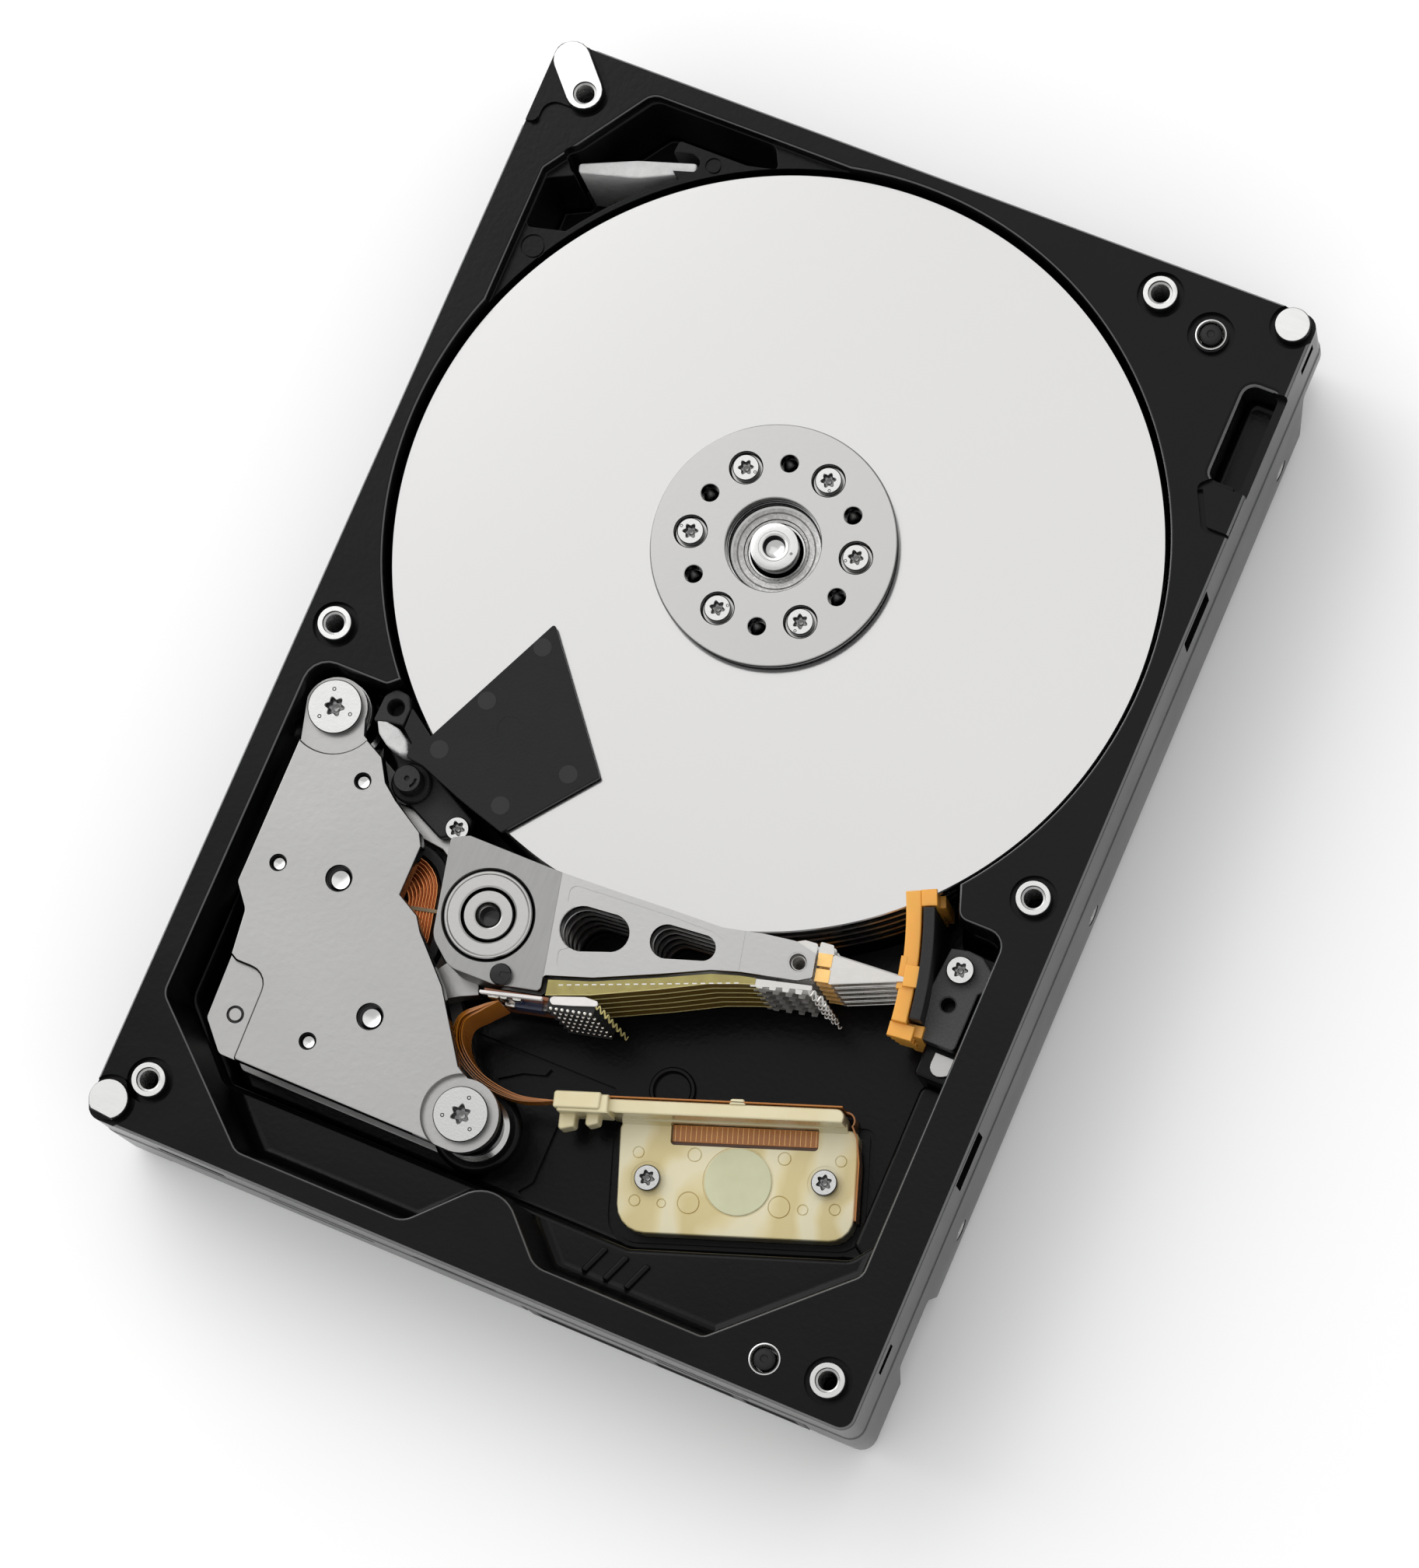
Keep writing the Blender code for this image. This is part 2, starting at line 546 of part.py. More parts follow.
def filters_and_spoiler():
    lens = rounded([(-7.4, -0.6, 0.4), (0.0, -1.3, 9.0), (7.4, -0.6, 0.4),
                    (7.4, 0.6, 0.4), (0.0, 1.0, 9.0), (-7.4, 0.6, 0.4)], 3)
    upright = placed(lens, (-35.5, 61.2), 20.7)
    add("recirculation_filter", [prism(upright, 8.3, 21.8)], "filter_cloth")
    plate = [(-30.0, -14.5), (-26.4, -19.3), (-16.9, -21.7), (-8.7, -11.4), (-21.5, 4.0)]
    add("spoiler_plate", [prism(plate, STACK_TOP_Z + 0.5, STACK_TOP_Z + 1.3)], "black_plastic")
    holder = add("filter_holder", [prism(rounded([(-37.6, -11.5, 0.8), (-35.4, -11.0, 0.5), (-33.4, -15.0),
                                                  (-29.0, -17.9), (-23.2, -21.4, 0.6), (-23.0, -24.6, 0.8),
                                                  (-25.6, -24.9, 0.4), (-30.4, -22.6), (-32.2, -21.3),
                                                  (-34.0, -18.4), (-37.2, -15.6, 0.6)]), 17.4, 21.4)],
                 "black_plastic")
    cut(holder, [cylinder((-36.0, -12.9), 0.9, 19.0, FAR, 12),
                 cylinder(SPOILER_SCREW, 1.2, 0.0, FAR, 12),
                 prism(stadium((-35.6, -15.3), (-32.6, -16.6), 0.75, 0.75, 4), 19.0, FAR)], "recesses")
    pad = stadium((-35.6, -15.3), (-32.6, -16.6), 0.45, 0.45, 4)
    add("small_filter", [prism(pad, 19.3, 22.4)], "filter_cloth")
    add("spoiler_screw", [screw(SPOILER_SCREW, 17.6, 21.7, 0.8, 1.5)], "steel")


def ramp_parts():
    """Comb that the heads park on, its bracket and screw."""
    fingers = sector(PIVOT, 50.5, 52.4, 7.6, 25.4, 12)
    low = disc_top(DISC_COUNT - 1) - DISC_THICK / 2 - 1.0
    ramp = add("load_ramp", [prism(fingers, low, disc_top(0) - DISC_THICK / 2 + 1.0)], "ramp_plastic")
    slots = []
    for i in range(DISC_COUNT - 1):
        mid = disc_top(i) - DISC_THICK / 2
        slots.append(prism(sector(PIVOT, 49.0, 51.9, 4.0, 30.0, 8), mid - PITCH + 1.0, mid - 1.0))
    cut(ramp, slots, "finger_gaps")
    discs = []
    for i in range(DISC_COUNT):
        mid = disc_top(i) - DISC_THICK / 2
        discs.append(cylinder(SPINDLE, DISC_R + 0.4, mid - 0.75, mid + 0.75, 96))
    cut(ramp, discs, "disc_slots")
    bar = sector(PIVOT, 52.7, 54.1, 8.2, 22.9, 10)
    bracket = add("ramp_bracket", [prism(bar, 9.0, 23.4)], "black_plastic")
    foot = rounded([(38.4, -14.3), (40.5, -13.8), (42.4, -13.9, 1.0), (44.1, -15.2, 0.8), (44.1, -17.9),
                    (43.6, -18.4), (43.6, -25.8, 0.6), (38.4, -25.8), (37.9, -20.0)], 3)
    join(bracket, [prism(foot, 16.3, 19.3)], "foot")
    cut(bracket, [cylinder(RAMP_SCREW, 1.2, 0.0, FAR, 12),
                  cylinder((40.6, -20.6), 0.9, 0.0, FAR, 12)], "holes")
    add("ramp_screw", [screw(RAMP_SCREW, 12.0, 19.6, 0.8, 1.7)], "steel")


def flex_parts():
    """Bracket of the flex cable, its screws, and the cable's free loop."""
    def at(points):
        return placed(points, FLEX_BRACKET, FLEX_BRACKET_DEG)
    plate = rounded([(-14.9, 7.0, 1.0), (-14.6, -6.6, 3.5), (14.4, -6.6, 3.0), (14.4, 7.0, 1.0)])
    bracket = add("flex_bracket", [prism(at(plate), 6.3, 9.8)], "cream_plastic")
    wall = rounded([(-15.6, 9.0), (-15.6, 6.6), (13.6, 6.6), (14.2, 9.0, 1.5)])
    join(bracket, [prism(at(wall), 6.3, 14.6)], "wall")
    arm = [(-21.8, 9.2), (-21.8, 7.2), (-14.6, 7.2), (-14.6, 9.2)]
    join(bracket, [prism(at(arm), 10.0, 15.8)], "arm")
    screws = [(-11.0, 0.0), (10.6, 0.4)]
    cut(bracket, [prism(at([(-9.5, 3.6), (8.9, 3.6), (8.9, 6.0), (-9.5, 6.0)]), 8.0, FAR)], "window")
    cut(bracket, [cylinder(at([c])[0], 1.2, 0.0, FAR, 12) for c in screws], "screw_holes")
    for mark, place in zip("ab", at(screws)):
        add(f"flex_screw_{mark}", [screw(place, 6.6, 10.1, 0.8, 1.6)], "steel")
    add("flex_cable", [prism(ribbon(cable_route(), 0.12), 10.6, 19.4)], "amber_film")


def cable_route():
    """Plan of the cable: from the preamp board, round its loop, to the bracket's arm."""
    start = placed([(2.6, -9.7)], PIVOT, PARKED_DEG)[0]
    end = placed([(-22.3, 8.2)], FLEX_BRACKET, FLEX_BRACKET_DEG)[0]
    bends = [start, (-11.5, -42.4), (-13.4, -44.6), (-12.6, -47.6), (-9.2, -49.9), (-4.2, -50.4),
             end]
    return smooth(bends, 5)


def smooth(knots, steps):
    """Curve through knots (Catmull-Rom)."""
    padded = [knots[0]] + knots + [knots[-1]]
    points = []
    for i in range(len(knots) - 1):
        p = padded[i:i + 4]
        for k in range(steps):
            t = k / steps
            points.append(tuple(0.5 * (2 * p[1][a] + (p[2][a] - p[0][a]) * t
                                       + (2 * p[0][a] - 5 * p[1][a] + 4 * p[2][a] - p[3][a]) * t ** 2
                                       + (3 * p[1][a] - p[0][a] - 3 * p[2][a] + p[3][a]) * t ** 3)
                                for a in (0, 1)))
    points.append(knots[-1])
    return points


def port_plugs():
    profile = [(0, 20.3), (PLUG_R, 20.3), (PLUG_R, 24.6), (PLUG_R - 0.3, 24.9), (0, 24.9)]
    for mark, place in zip("ab", PORTS):
        add(f"port_plug_{mark}", [turned(profile, place, 16)], "rubber")


# --- underside ------------------------------------------------------------

def electronics():
    outline = rounded([(-43.4, -72.6), (43.4, -72.6), (43.4, 7.0, 2.0), (18.0, 7.0, 1.0), (13.0, 2.0, 1.0),
                       (-13.0, 2.0, 1.0), (-18.0, 7.0, 1.0), (-43.4, 7.0, 2.0)], 2)
    add("circuit_board", [prism(outline, 0.4, 1.6)], "board")
    shell = add("sata_connector", [box(5.6, 42.6, -73.0, -64.0, 1.9, 8.9)], "black_plastic")
    cut(shell, [box(7.0, 21.0, -80.0, -66.0, 3.0, 7.8), box(22.6, 33.0, -80.0, -66.0, 3.0, 7.8),
                box(34.4, 41.4, -80.0, -66.0, 3.0, 7.8)], "sockets")
    add("controller_chip", [box(-8.0, 6.0, -36.0, -22.0, 1.9, 3.1)], "chip")
    add("motor_driver_chip", [box(16.0, 25.0, -16.0, -7.0, 1.9, 3.0)], "chip")
    add("memory_chip", [box(-30.0, -20.0, -40.0, -22.0, 1.9, 3.0)], "chip")


clear_scene()
base_casting()
spindle_parts(axis_empty("spindle_axis", SPINDLE))
actuator_parts(axis_empty("actuator_axis", PIVOT, PARKED_DEG))
voice_coil_motor()
filters_and_spoiler()
ramp_parts()
flex_parts()
port_plugs()
electronics()
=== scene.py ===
"""Hard disk drive of the 3.5 inch size with its cover off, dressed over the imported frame.

Lengths are written in millimetres and turned into metres as each mesh is made.
X runs across the drive, Y from the connector end to the disc end, Z up.
"""
import math
import random

import bpy
import bmesh
from mathutils import Matrix


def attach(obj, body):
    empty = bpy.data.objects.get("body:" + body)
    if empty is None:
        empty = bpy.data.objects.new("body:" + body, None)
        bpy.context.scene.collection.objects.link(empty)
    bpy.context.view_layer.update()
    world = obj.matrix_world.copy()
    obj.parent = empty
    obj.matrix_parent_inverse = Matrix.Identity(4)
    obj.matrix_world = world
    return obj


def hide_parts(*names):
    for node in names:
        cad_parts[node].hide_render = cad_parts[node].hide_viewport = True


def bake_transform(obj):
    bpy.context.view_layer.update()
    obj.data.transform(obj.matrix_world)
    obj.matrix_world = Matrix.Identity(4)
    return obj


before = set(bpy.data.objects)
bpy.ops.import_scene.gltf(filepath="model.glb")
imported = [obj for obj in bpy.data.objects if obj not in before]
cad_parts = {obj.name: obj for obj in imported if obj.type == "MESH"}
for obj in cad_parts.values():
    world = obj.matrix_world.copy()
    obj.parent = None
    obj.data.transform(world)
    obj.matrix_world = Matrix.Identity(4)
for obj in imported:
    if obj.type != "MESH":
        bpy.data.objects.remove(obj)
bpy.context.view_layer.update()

# ==== Camera, light and table ====
# A long lens looks down on the open drive from above its connector end. One
# wide soft light hangs over the disc end, a second one low on the left.
MM = 0.001
TABLE_DROP = 0.0003   # metres
scene = bpy.context.scene
scene.view_settings.view_transform = "Standard"

lens = bpy.data.cameras.new("camera")
lens.sensor_width = 36.0
lens.lens = 137.74
eye = bpy.data.objects.new("camera", lens)
eye.matrix_world = Matrix(((0.90875, -0.36056, 0.21018, 0.15592), (0.39302, 0.90876, -0.14034, -0.10859),
    (-0.14040, 0.21013, 0.96754, 0.72218), (0.0, 0.0, 0.0, 1.0)))
bpy.context.collection.objects.link(eye)
scene.camera = eye


def soft_light(name, place, aim, wide, tall, watts):
    """Rectangular lamp at one place, facing another."""
    lamp = bpy.data.lights.new(name, "AREA")
    lamp.shape = "RECTANGLE"
    lamp.size = wide
    lamp.size_y = tall
    lamp.energy = watts
    holder = bpy.data.objects.new(name, lamp)
    away = (Matrix.Translation(place).translation - Matrix.Translation(aim).translation)
    holder.rotation_euler = away.to_track_quat("Z", "Y").to_euler()
    holder.location = place
    bpy.context.collection.objects.link(holder)


soft_light("overhead_light", (-0.25, 0.57, 1.20), (-0.25, 0.57, 0.0), 1.10, 1.00, 1.7)
soft_light("side_light", (-0.85, 0.35, 0.75), (0.0, 0.0, 0.0), 1.20, 1.20, 6.8)

sky = bpy.data.worlds.new("studio")
sky.use_nodes = True
sky_inputs = sky.node_tree.nodes["Background"].inputs
sky_inputs["Color"].default_value = (1.0, 1.0, 1.0, 1.0)
sky_inputs["Strength"].default_value = 0.80
scene.world = sky

table_mesh = bpy.data.meshes.new("table")
table_mesh.from_pydata([(x, y, -TABLE_DROP) for x, y in ((-3, -3), (3, -3), (3, 3), (-3, 3))], [],
    [(0, 1, 2, 3)])
table = bpy.data.objects.new("table", table_mesh)
bpy.context.collection.objects.link(table)
table_finish = bpy.data.materials.new("table_white")
table_finish.use_nodes = True
table_inputs = table_finish.node_tree.nodes["Principled BSDF"].inputs
table_inputs["Base Color"].default_value = (0.99, 0.99, 0.99, 1)
table_inputs["Roughness"].default_value = 0.9
table_mesh.materials.append(table_finish)


# ==== Base casting ====
# One die casting of aluminium, coated in black. It has a round well for the
# discs, a corner pocket for the filter and a wide well for the actuator.
def arc(centre, radius, start, end, steps):
    """Points on an arc, angles in degrees, both ends included."""
    points = []
    for i in range(steps + 1):
        a = math.radians(start + (end - start) * i / steps)
        points.append((centre[0] + radius * math.cos(a), centre[1] + radius * math.sin(a)))
    return points


def spot_at(centre, radius, angle):
    """The one point at an angle."""
    return arc(centre, radius, angle, angle, 1)[0]


def circle(centre, radius, steps):
    return arc(centre, radius, 0, 360, steps)[:-1]


def heading(a, b):
    """Unit direction from one point to another."""
    size = math.hypot(b[0] - a[0], b[1] - a[1])
    return (b[0] - a[0]) / size, (b[1] - a[1]) / size


def rounded(corners, steps=5):
    """Outline through corners given as (x, y) or (x, y, radius)."""
    points = []
    for i, corner in enumerate(corners):
        if len(corner) == 2:
            points.append(corner)
            continue
        x, y, radius = corner
        ux, uy = heading((x, y), corners[i - 1])
        vx, vy = heading((x, y), corners[(i + 1) % len(corners)])
        half = math.acos(max(-1.0, min(1.0, ux * vx + uy * vy))) / 2
        reach = radius / math.tan(half)
        bx, by = ux + vx, uy + vy
        scale = radius / math.sin(half) / math.hypot(bx, by)
        cx, cy = x + bx * scale, y + by * scale
        a0 = math.atan2(y + uy * reach - cy, x + ux * reach - cx)
        a1 = math.atan2(y + vy * reach - cy, x + vx * reach - cx)
        turn = (a1 - a0 + math.pi) % (2 * math.pi) - math.pi
        for k in range(steps + 1):
            a = a0 + turn * k / steps
            points.append((cx + radius * math.cos(a), cy + radius * math.sin(a)))
    return points


def stadium(a, b, radius_a, radius_b, steps=10):
    """Rounded slot between two centres, which may have different radii."""
    ux, uy = heading(a, b)
    lie = math.degrees(math.atan2(uy, ux))
    return arc(b, radius_b, lie - 90, lie + 90, steps) + arc(a, radius_a, lie + 90, lie + 270, steps)


def sector(centre, inner, outer, start, end, steps):
    """Slice of a ring."""
    return arc(centre, outer, start, end, steps) + arc(centre, inner, end, start, steps)


def ribbon(route, half):
    """Outline of a strip of even width along a route."""
    left, right = [], []
    last = len(route) - 1
    for i, (x, y) in enumerate(route):
        ux, uy = heading(route[max(i - 1, 0)], route[min(i + 1, last)])
        left.append((x - uy * half, y + ux * half))
        right.append((x + uy * half, y - ux * half))
    return right + left[::-1]


def placed(points, origin, degrees):
    """Outline turned about its own origin and moved to a place."""
    c, s = math.cos(math.radians(degrees)), math.sin(math.radians(degrees))
    return [(origin[0] + c * x - s * y, origin[1] + s * x + c * y) for x, y in points]


def grown(corners, by=0.0):
    """Rounded outline moved outwards by a distance, inwards when negative."""
    count = len(corners)
    area = sum(corners[i - 1][0] * corners[i][1] - corners[i][0] * corners[i - 1][1] for i in range(count))
    side = by if area > 0 else -by
    moved = []
    for i, corner in enumerate(corners):
        x, y = corner[:2]
        ux, uy = heading(corners[i - 1], (x, y))
        vx, vy = heading((x, y), corners[(i + 1) % count])
        nx, ny = uy + vy, -ux - vx
        grip = max(0.35, 1.0 + ux * vx + uy * vy)
        place = (x + nx * side / grip, y + ny * side / grip)
        if len(corner) == 3:
            bends_out = (ux * vy - uy * vx) * area > 0
            place += (max(0.03, corner[2] + (by if bends_out else -by)),)
        moved.append(place)
    return rounded(moved)


def stack(levels):
    """Closed solid through outlines of equal length, each at its own height."""
    count = len(levels[0][0])
    points = [(x, y, z) for outline, z in levels for x, y in outline]
    faces = [tuple(range(count))[::-1], tuple(range(len(points) - count, len(points)))]
    for k in range(len(levels) - 1):
        for i in range(count):
            j = (i + 1) % count
            low, high = k * count, (k + 1) * count
            faces.append((low + i, low + j, high + j, high + i))
    return points, faces


def slab(outline, low, high, top=0.0, bottom=0.0, steps=3):
    """Prism whose top and bottom edges are rounded by the given radii."""
    levels = []
    for k in range(steps + 1 if bottom else 1):
        a = math.radians(90 * k / steps)
        levels.append((grown(outline, -bottom * (1 - math.sin(a))), low + bottom * (1 - math.cos(a))))
    for k in range(steps + 1 if top else 1):
        a = math.radians(90 * k / steps)
        levels.append((grown(outline, -top * (1 - math.cos(a))), high - top * (1 - math.sin(a))))
    return stack(levels)


def hollow(outline, floor, deck, rim=0.4, fillet=0.8, lean=0.0, steps=3):
    """Cutter for a well: rounded foot, walls that lean, and a rounded rim at the deck."""
    levels = []
    for k in range(steps + 1):
        a = math.radians(90 * k / steps)
        levels.append((grown(outline, -lean - fillet * (1 - math.sin(a))),
            floor + fillet * (1 - math.cos(a))))
    for k in range(steps + 1):
        a = math.radians(90 * k / steps)
        levels.append((grown(outline, rim * (1 - math.cos(a))), deck - rim * (1 - math.sin(a))))
    levels.append((grown(outline, rim), deck + 6.0))
    return stack(levels)


def turned(profile, centre=(0.0, 0.0), steps=48):
    """Profile of (radius, z) turned about a vertical axis."""
    points, rings, faces = [], [], []
    for radius, z in profile:
        if radius == 0:
            rings.append([len(points)] * steps)
            points.append((centre[0], centre[1], z))
            continue
        rings.append(list(range(len(points), len(points) + steps)))
        points.extend((x, y, z) for x, y in circle(centre, radius, steps))
    for k in range(len(rings)):
        lower, upper = rings[k], rings[(k + 1) % len(rings)]
        for i in range(steps):
            j = (i + 1) % steps
            face = list(dict.fromkeys((lower[i], lower[j], upper[j], upper[i])))
            if len(face) > 2:
                faces.append(tuple(face))
    return points, faces


def block(x0, x1, y0, y1, z0, z1, round_by=0.0):
    return slab([(x0, y0), (x1, y0), (x1, y1), (x0, y1)], z0, z1, round_by, 0.0)


def across(outline, low, high):
    """Prism along X of an outline given as (y, z)."""
    points, faces = slab(outline, low, high)
    return [(c, a, b) for a, b, c in points], faces


def raw(name, solids):
    """Plain object made of closed solids that don't meet."""
    points, faces = [], []
    for some_points, some_faces in solids:
        base = len(points)
        points.extend((x * MM, y * MM, z * MM) for x, y, z in some_points)
        faces.extend(tuple(base + i for i in face) for face in some_faces)
    mesh = bpy.data.meshes.new(name)
    mesh.from_pydata(points, [], faces)
    work = bmesh.new()
    work.from_mesh(mesh)
    bmesh.ops.recalc_face_normals(work, faces=work.faces[:])
    work.to_mesh(mesh)
    work.free()
    made = bpy.data.objects.new(name, mesh)
    bpy.context.collection.objects.link(made)
    return made


def shaped(target, solids, operation="DIFFERENCE"):
    """Cuts solids out of a piece, or joins them to it, for good."""
    tool = raw("tool", solids)
    change = target.modifiers.new("shape", "BOOLEAN")
    change.operation = operation
    change.solver = "MANIFOLD"
    change.object = tool
    ready = target.evaluated_get(bpy.context.evaluated_depsgraph_get())
    mesh = bpy.data.meshes.new_from_object(ready)
    assert len(mesh.vertices), f"{target.name}: nothing is left of it"
    target.modifiers.clear()
    target.data = mesh
    bpy.data.objects.remove(tool, do_unlink=True)


def finished(piece, material, body, angle=38, flat=True):
    """Gives a piece its finish, its smooth edges and the body that it rides on."""
    mesh = piece.data
    mesh.materials.clear()
    mesh.materials.append(material)
    mesh.shade_smooth()
    mesh.set_sharp_from_angle(angle=math.radians(angle))
    if flat:
        even = piece.modifiers.new("even", "WEIGHTED_NORMAL")
        even.keep_sharp = True
    if body:
        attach(piece, body)
    return piece


def made_of(name, solids, material, body, angle=38, flat=True):
    """Piece made of plain solids and finished in one go."""
    return finished(raw(name, solids), material, body, angle, flat)


def group_socket(tree, name, kind, default=None, way="INPUT"):
    """Adds a named socket to a node group."""
    made = tree.interface.new_socket(name=name, in_out=way, socket_type=kind)
    if default is not None:
        made.default_value = default


def skin_group():
    """Shared effect: mottled colour, uneven gloss and a fine bump, in object space."""
    tree = bpy.data.node_groups.new("skin", "ShaderNodeTree")
    grey = (0.5, 0.5, 0.5, 1)
    for name, kind, start in (("Base", "Color", grey), ("Tint", "Color", grey),
        ("Stretch", "Vector", (1, 1, 1)), ("Scale", "Float", 400.0), ("Fine", "Float", 3000.0),
        ("Gloss", "Float", 0.3), ("Spread", "Float", 0.1), ("Bump", "Float", 0.1)):
        group_socket(tree, name, "NodeSocket" + kind, start)
    for name, kind in (("Color", "NodeSocketColor"), ("Roughness", "NodeSocketFloat"),
        ("Normal", "NodeSocketVector")):
        group_socket(tree, name, kind, way="OUTPUT")
    nodes, link = tree.nodes, tree.links.new
    given, out = nodes.new("NodeGroupInput"), nodes.new("NodeGroupOutput")
    where = nodes.new("ShaderNodeTexCoord")
    lay = nodes.new("ShaderNodeVectorMath")
    lay.operation = "MULTIPLY"
    link(where.outputs["Object"], lay.inputs[0])
    link(given.outputs["Stretch"], lay.inputs[1])
    broad, fine = nodes.new("ShaderNodeTexNoise"), nodes.new("ShaderNodeTexNoise")
    for noise, size, detail in ((broad, "Scale", 4.0), (fine, "Fine", 3.0)):
        link(lay.outputs[0], noise.inputs["Vector"])
        link(given.outputs[size], noise.inputs["Scale"])
        noise.inputs["Detail"].default_value = detail
    mix = nodes.new("ShaderNodeMix")
    mix.data_type = "RGBA"
    link(broad.outputs["Fac"], mix.inputs[0])
    link(given.outputs["Base"], mix.inputs[6])
    link(given.outputs["Tint"], mix.inputs[7])
    link(mix.outputs[2], out.inputs["Color"])
    shift = nodes.new("ShaderNodeMath")
    shift.operation = "SUBTRACT"
    shift.inputs[1].default_value = 0.5
    link(broad.outputs["Fac"], shift.inputs[0])
    gloss = nodes.new("ShaderNodeMath")
    gloss.operation = "MULTIPLY_ADD"
    gloss.use_clamp = True
    link(shift.outputs[0], gloss.inputs[0])
    link(given.outputs["Spread"], gloss.inputs[1])
    link(given.outputs["Gloss"], gloss.inputs[2])
    link(gloss.outputs[0], out.inputs["Roughness"])
    bump = nodes.new("ShaderNodeBump")
    bump.inputs["Distance"].default_value = 0.0002
    link(fine.outputs["Fac"], bump.inputs["Height"])
    link(given.outputs["Bump"], bump.inputs["Strength"])
    link(bump.outputs[0], out.inputs["Normal"])
    return tree


SKIN = skin_group()


def finish(name, base, tint, gloss, metal=0.0, scale=400.0, fine=3000.0, spread=0.1, bump=0.1,
    stretch=(1, 1, 1), **shader_values):
    """Principled material over the shared skin; further sockets are given by name."""
    made = bpy.data.materials.new(name)
    made.use_nodes = True
    nodes, link = made.node_tree.nodes, made.node_tree.links.new
    shader = nodes["Principled BSDF"]
    skin = nodes.new("ShaderNodeGroup")
    skin.name = "skin"
    skin.node_tree = SKIN
    for socket, value in (("Base", (*base, 1)), ("Tint", (*tint, 1)), ("Stretch", stretch), ("Scale", scale),
        ("Fine", fine), ("Gloss", gloss), ("Spread", spread), ("Bump", bump)):
        skin.inputs[socket].default_value = value
    link(skin.outputs["Color"], shader.inputs["Base Color"])
    link(skin.outputs["Roughness"], shader.inputs["Roughness"])
    link(skin.outputs["Normal"], shader.inputs["Normal"])
    shader.inputs["Metallic"].default_value = metal
    for socket, value in shader_values.items():
        shader.inputs[socket.replace("_", " ")].default_value = value
    return made


def dressed(piece, material, wanted):
    """Gives a second finish to the faces picked by their centre and normal."""
    piece.data.materials.append(material)
    slot = len(piece.data.materials) - 1
    for face in piece.data.polygons:
        x, y, z = (c / MM for c in face.center)
        if wanted(x, y, z, face.normal):
            face.material_index = slot


DECK = 24.4
SPINDLE = (-0.3, 22.8)
CLEAR = 30.0   # cutters end up here, clear of everything
SHELF = 14.0
FLOOR = 6.0

black_coat = finish("black_coat", (0.002, 0.002, 0.0023), (0.004, 0.004, 0.0045), 0.22, scale=90.0,
    fine=1500.0, spread=0.14, bump=0.10, Specular_IOR_Level=0.15)

half_x, half_y = 50.8, 73.0
foot = [(-half_x, -half_y, 2.0), (half_x, -half_y, 2.0), (half_x, half_y, 2.0), (-half_x, half_y, 2.0)]
shell = [(grown(foot, -0.6), 0.0), (grown(foot), 3.2), (grown(foot), 14.6), (grown(foot, -0.12), 15.0),
    (grown(foot, -0.15), 23.7), (grown(foot, -0.22), 24.1), (grown(foot, -0.45), DECK)]
casting = raw("casting", [stack(shell)])

# Round well, corner recess and pocket, and the actuator's well with its shelf
shaped(casting, [hollow(circle(SPINDLE, 48.2, 200), 5.4, DECK, 0.3, 0.8)])
bump_arc = arc((0.0, -67.2), 4.6, 140, 40, 10)
well = ([(-34.0, 4.0), (-34.0, -7.5), (-37.5, -10.6, 1.0), (-47.3, -10.6, 3.0), (-47.3, -55.6, 2.0),
    (-31.2, -69.9, 2.0), (-9.0, -69.9, 3.0)] + bump_arc + [(8.0, -68.8, 3.0), (30.0, -68.8, 1.5),
    (44.7, -55.0, 2.0), (44.7, -11.3, 2.0), (38.6, -11.3, 1.5), (36.9, -6.5), (30.0, 4.0)])
shaped(casting, [hollow(well, SHELF, DECK, 0.35, 1.6, 1.0, 4)])
deep = [(-34.0, 4.0), (-34.0, -7.5), (-37.5, -10.8, 1.0), (-46.4, -10.8, 3.0), (-46.0, -54.0, 2.0),
    (-38.0, -61.9, 1.5), (15.6, -61.9, 1.5), (41.0, -53.0, 2.0), (43.2, -50.0, 1.0), (43.4, -11.7, 2.0),
    (38.6, -11.7, 1.5), (36.9, -6.9), (30.0, 4.0)]
shaped(casting, [hollow(deep, FLOOR, SHELF, 0.7, 0.8, 0.5)])
recess = [(-45.9, 36.0), (-30.0, 36.0), (-8.0, 60.0), (-8.0, 70.0), (-36.8, 70.0, 2.0), (-45.9, 56.5, 0.8)]
shaped(casting, [hollow(recess, 22.2, DECK, 0.3, 0.2)])
wall = arc(SPINDLE, 48.9, 145.5, 127.5, 8)
pocket = ([(-30.2, 61.6), (-31.2, 62.4), (-28.6, 63.2, 0.4), (-28.2, 64.7, 0.8), (-29.6, 65.2, 0.4),
    (-32.0, 64.6), (-31.9, 66.3, 0.5), (-22.8, 66.3), (-19.0, 67.2, 0.4), (-20.4, 69.8, 1.2),
    (-36.5, 69.8, 1.8), (-42.6, 60.9), (-44.3, 59.4, 0.5), (-43.0, 57.9, 0.6), (-42.0, 57.6, 0.3),
    (-45.6, 55.9, 0.3), (-45.6, 49.3, 0.6)] + wall)
shaped(casting, [hollow(pocket, 8.0, 22.2, 0.15, 0.4)])
casting_marks = [turned([(r - 0.12, 21.9), (r + 0.12, 21.9), (r + 0.12, 23.0), (r - 0.12, 23.0)], c, 28)
    for c, r in (((-43.6, 47.2), 1.45), ((-26.6, 64.7), 0.95))]
shaped(casting, casting_marks)

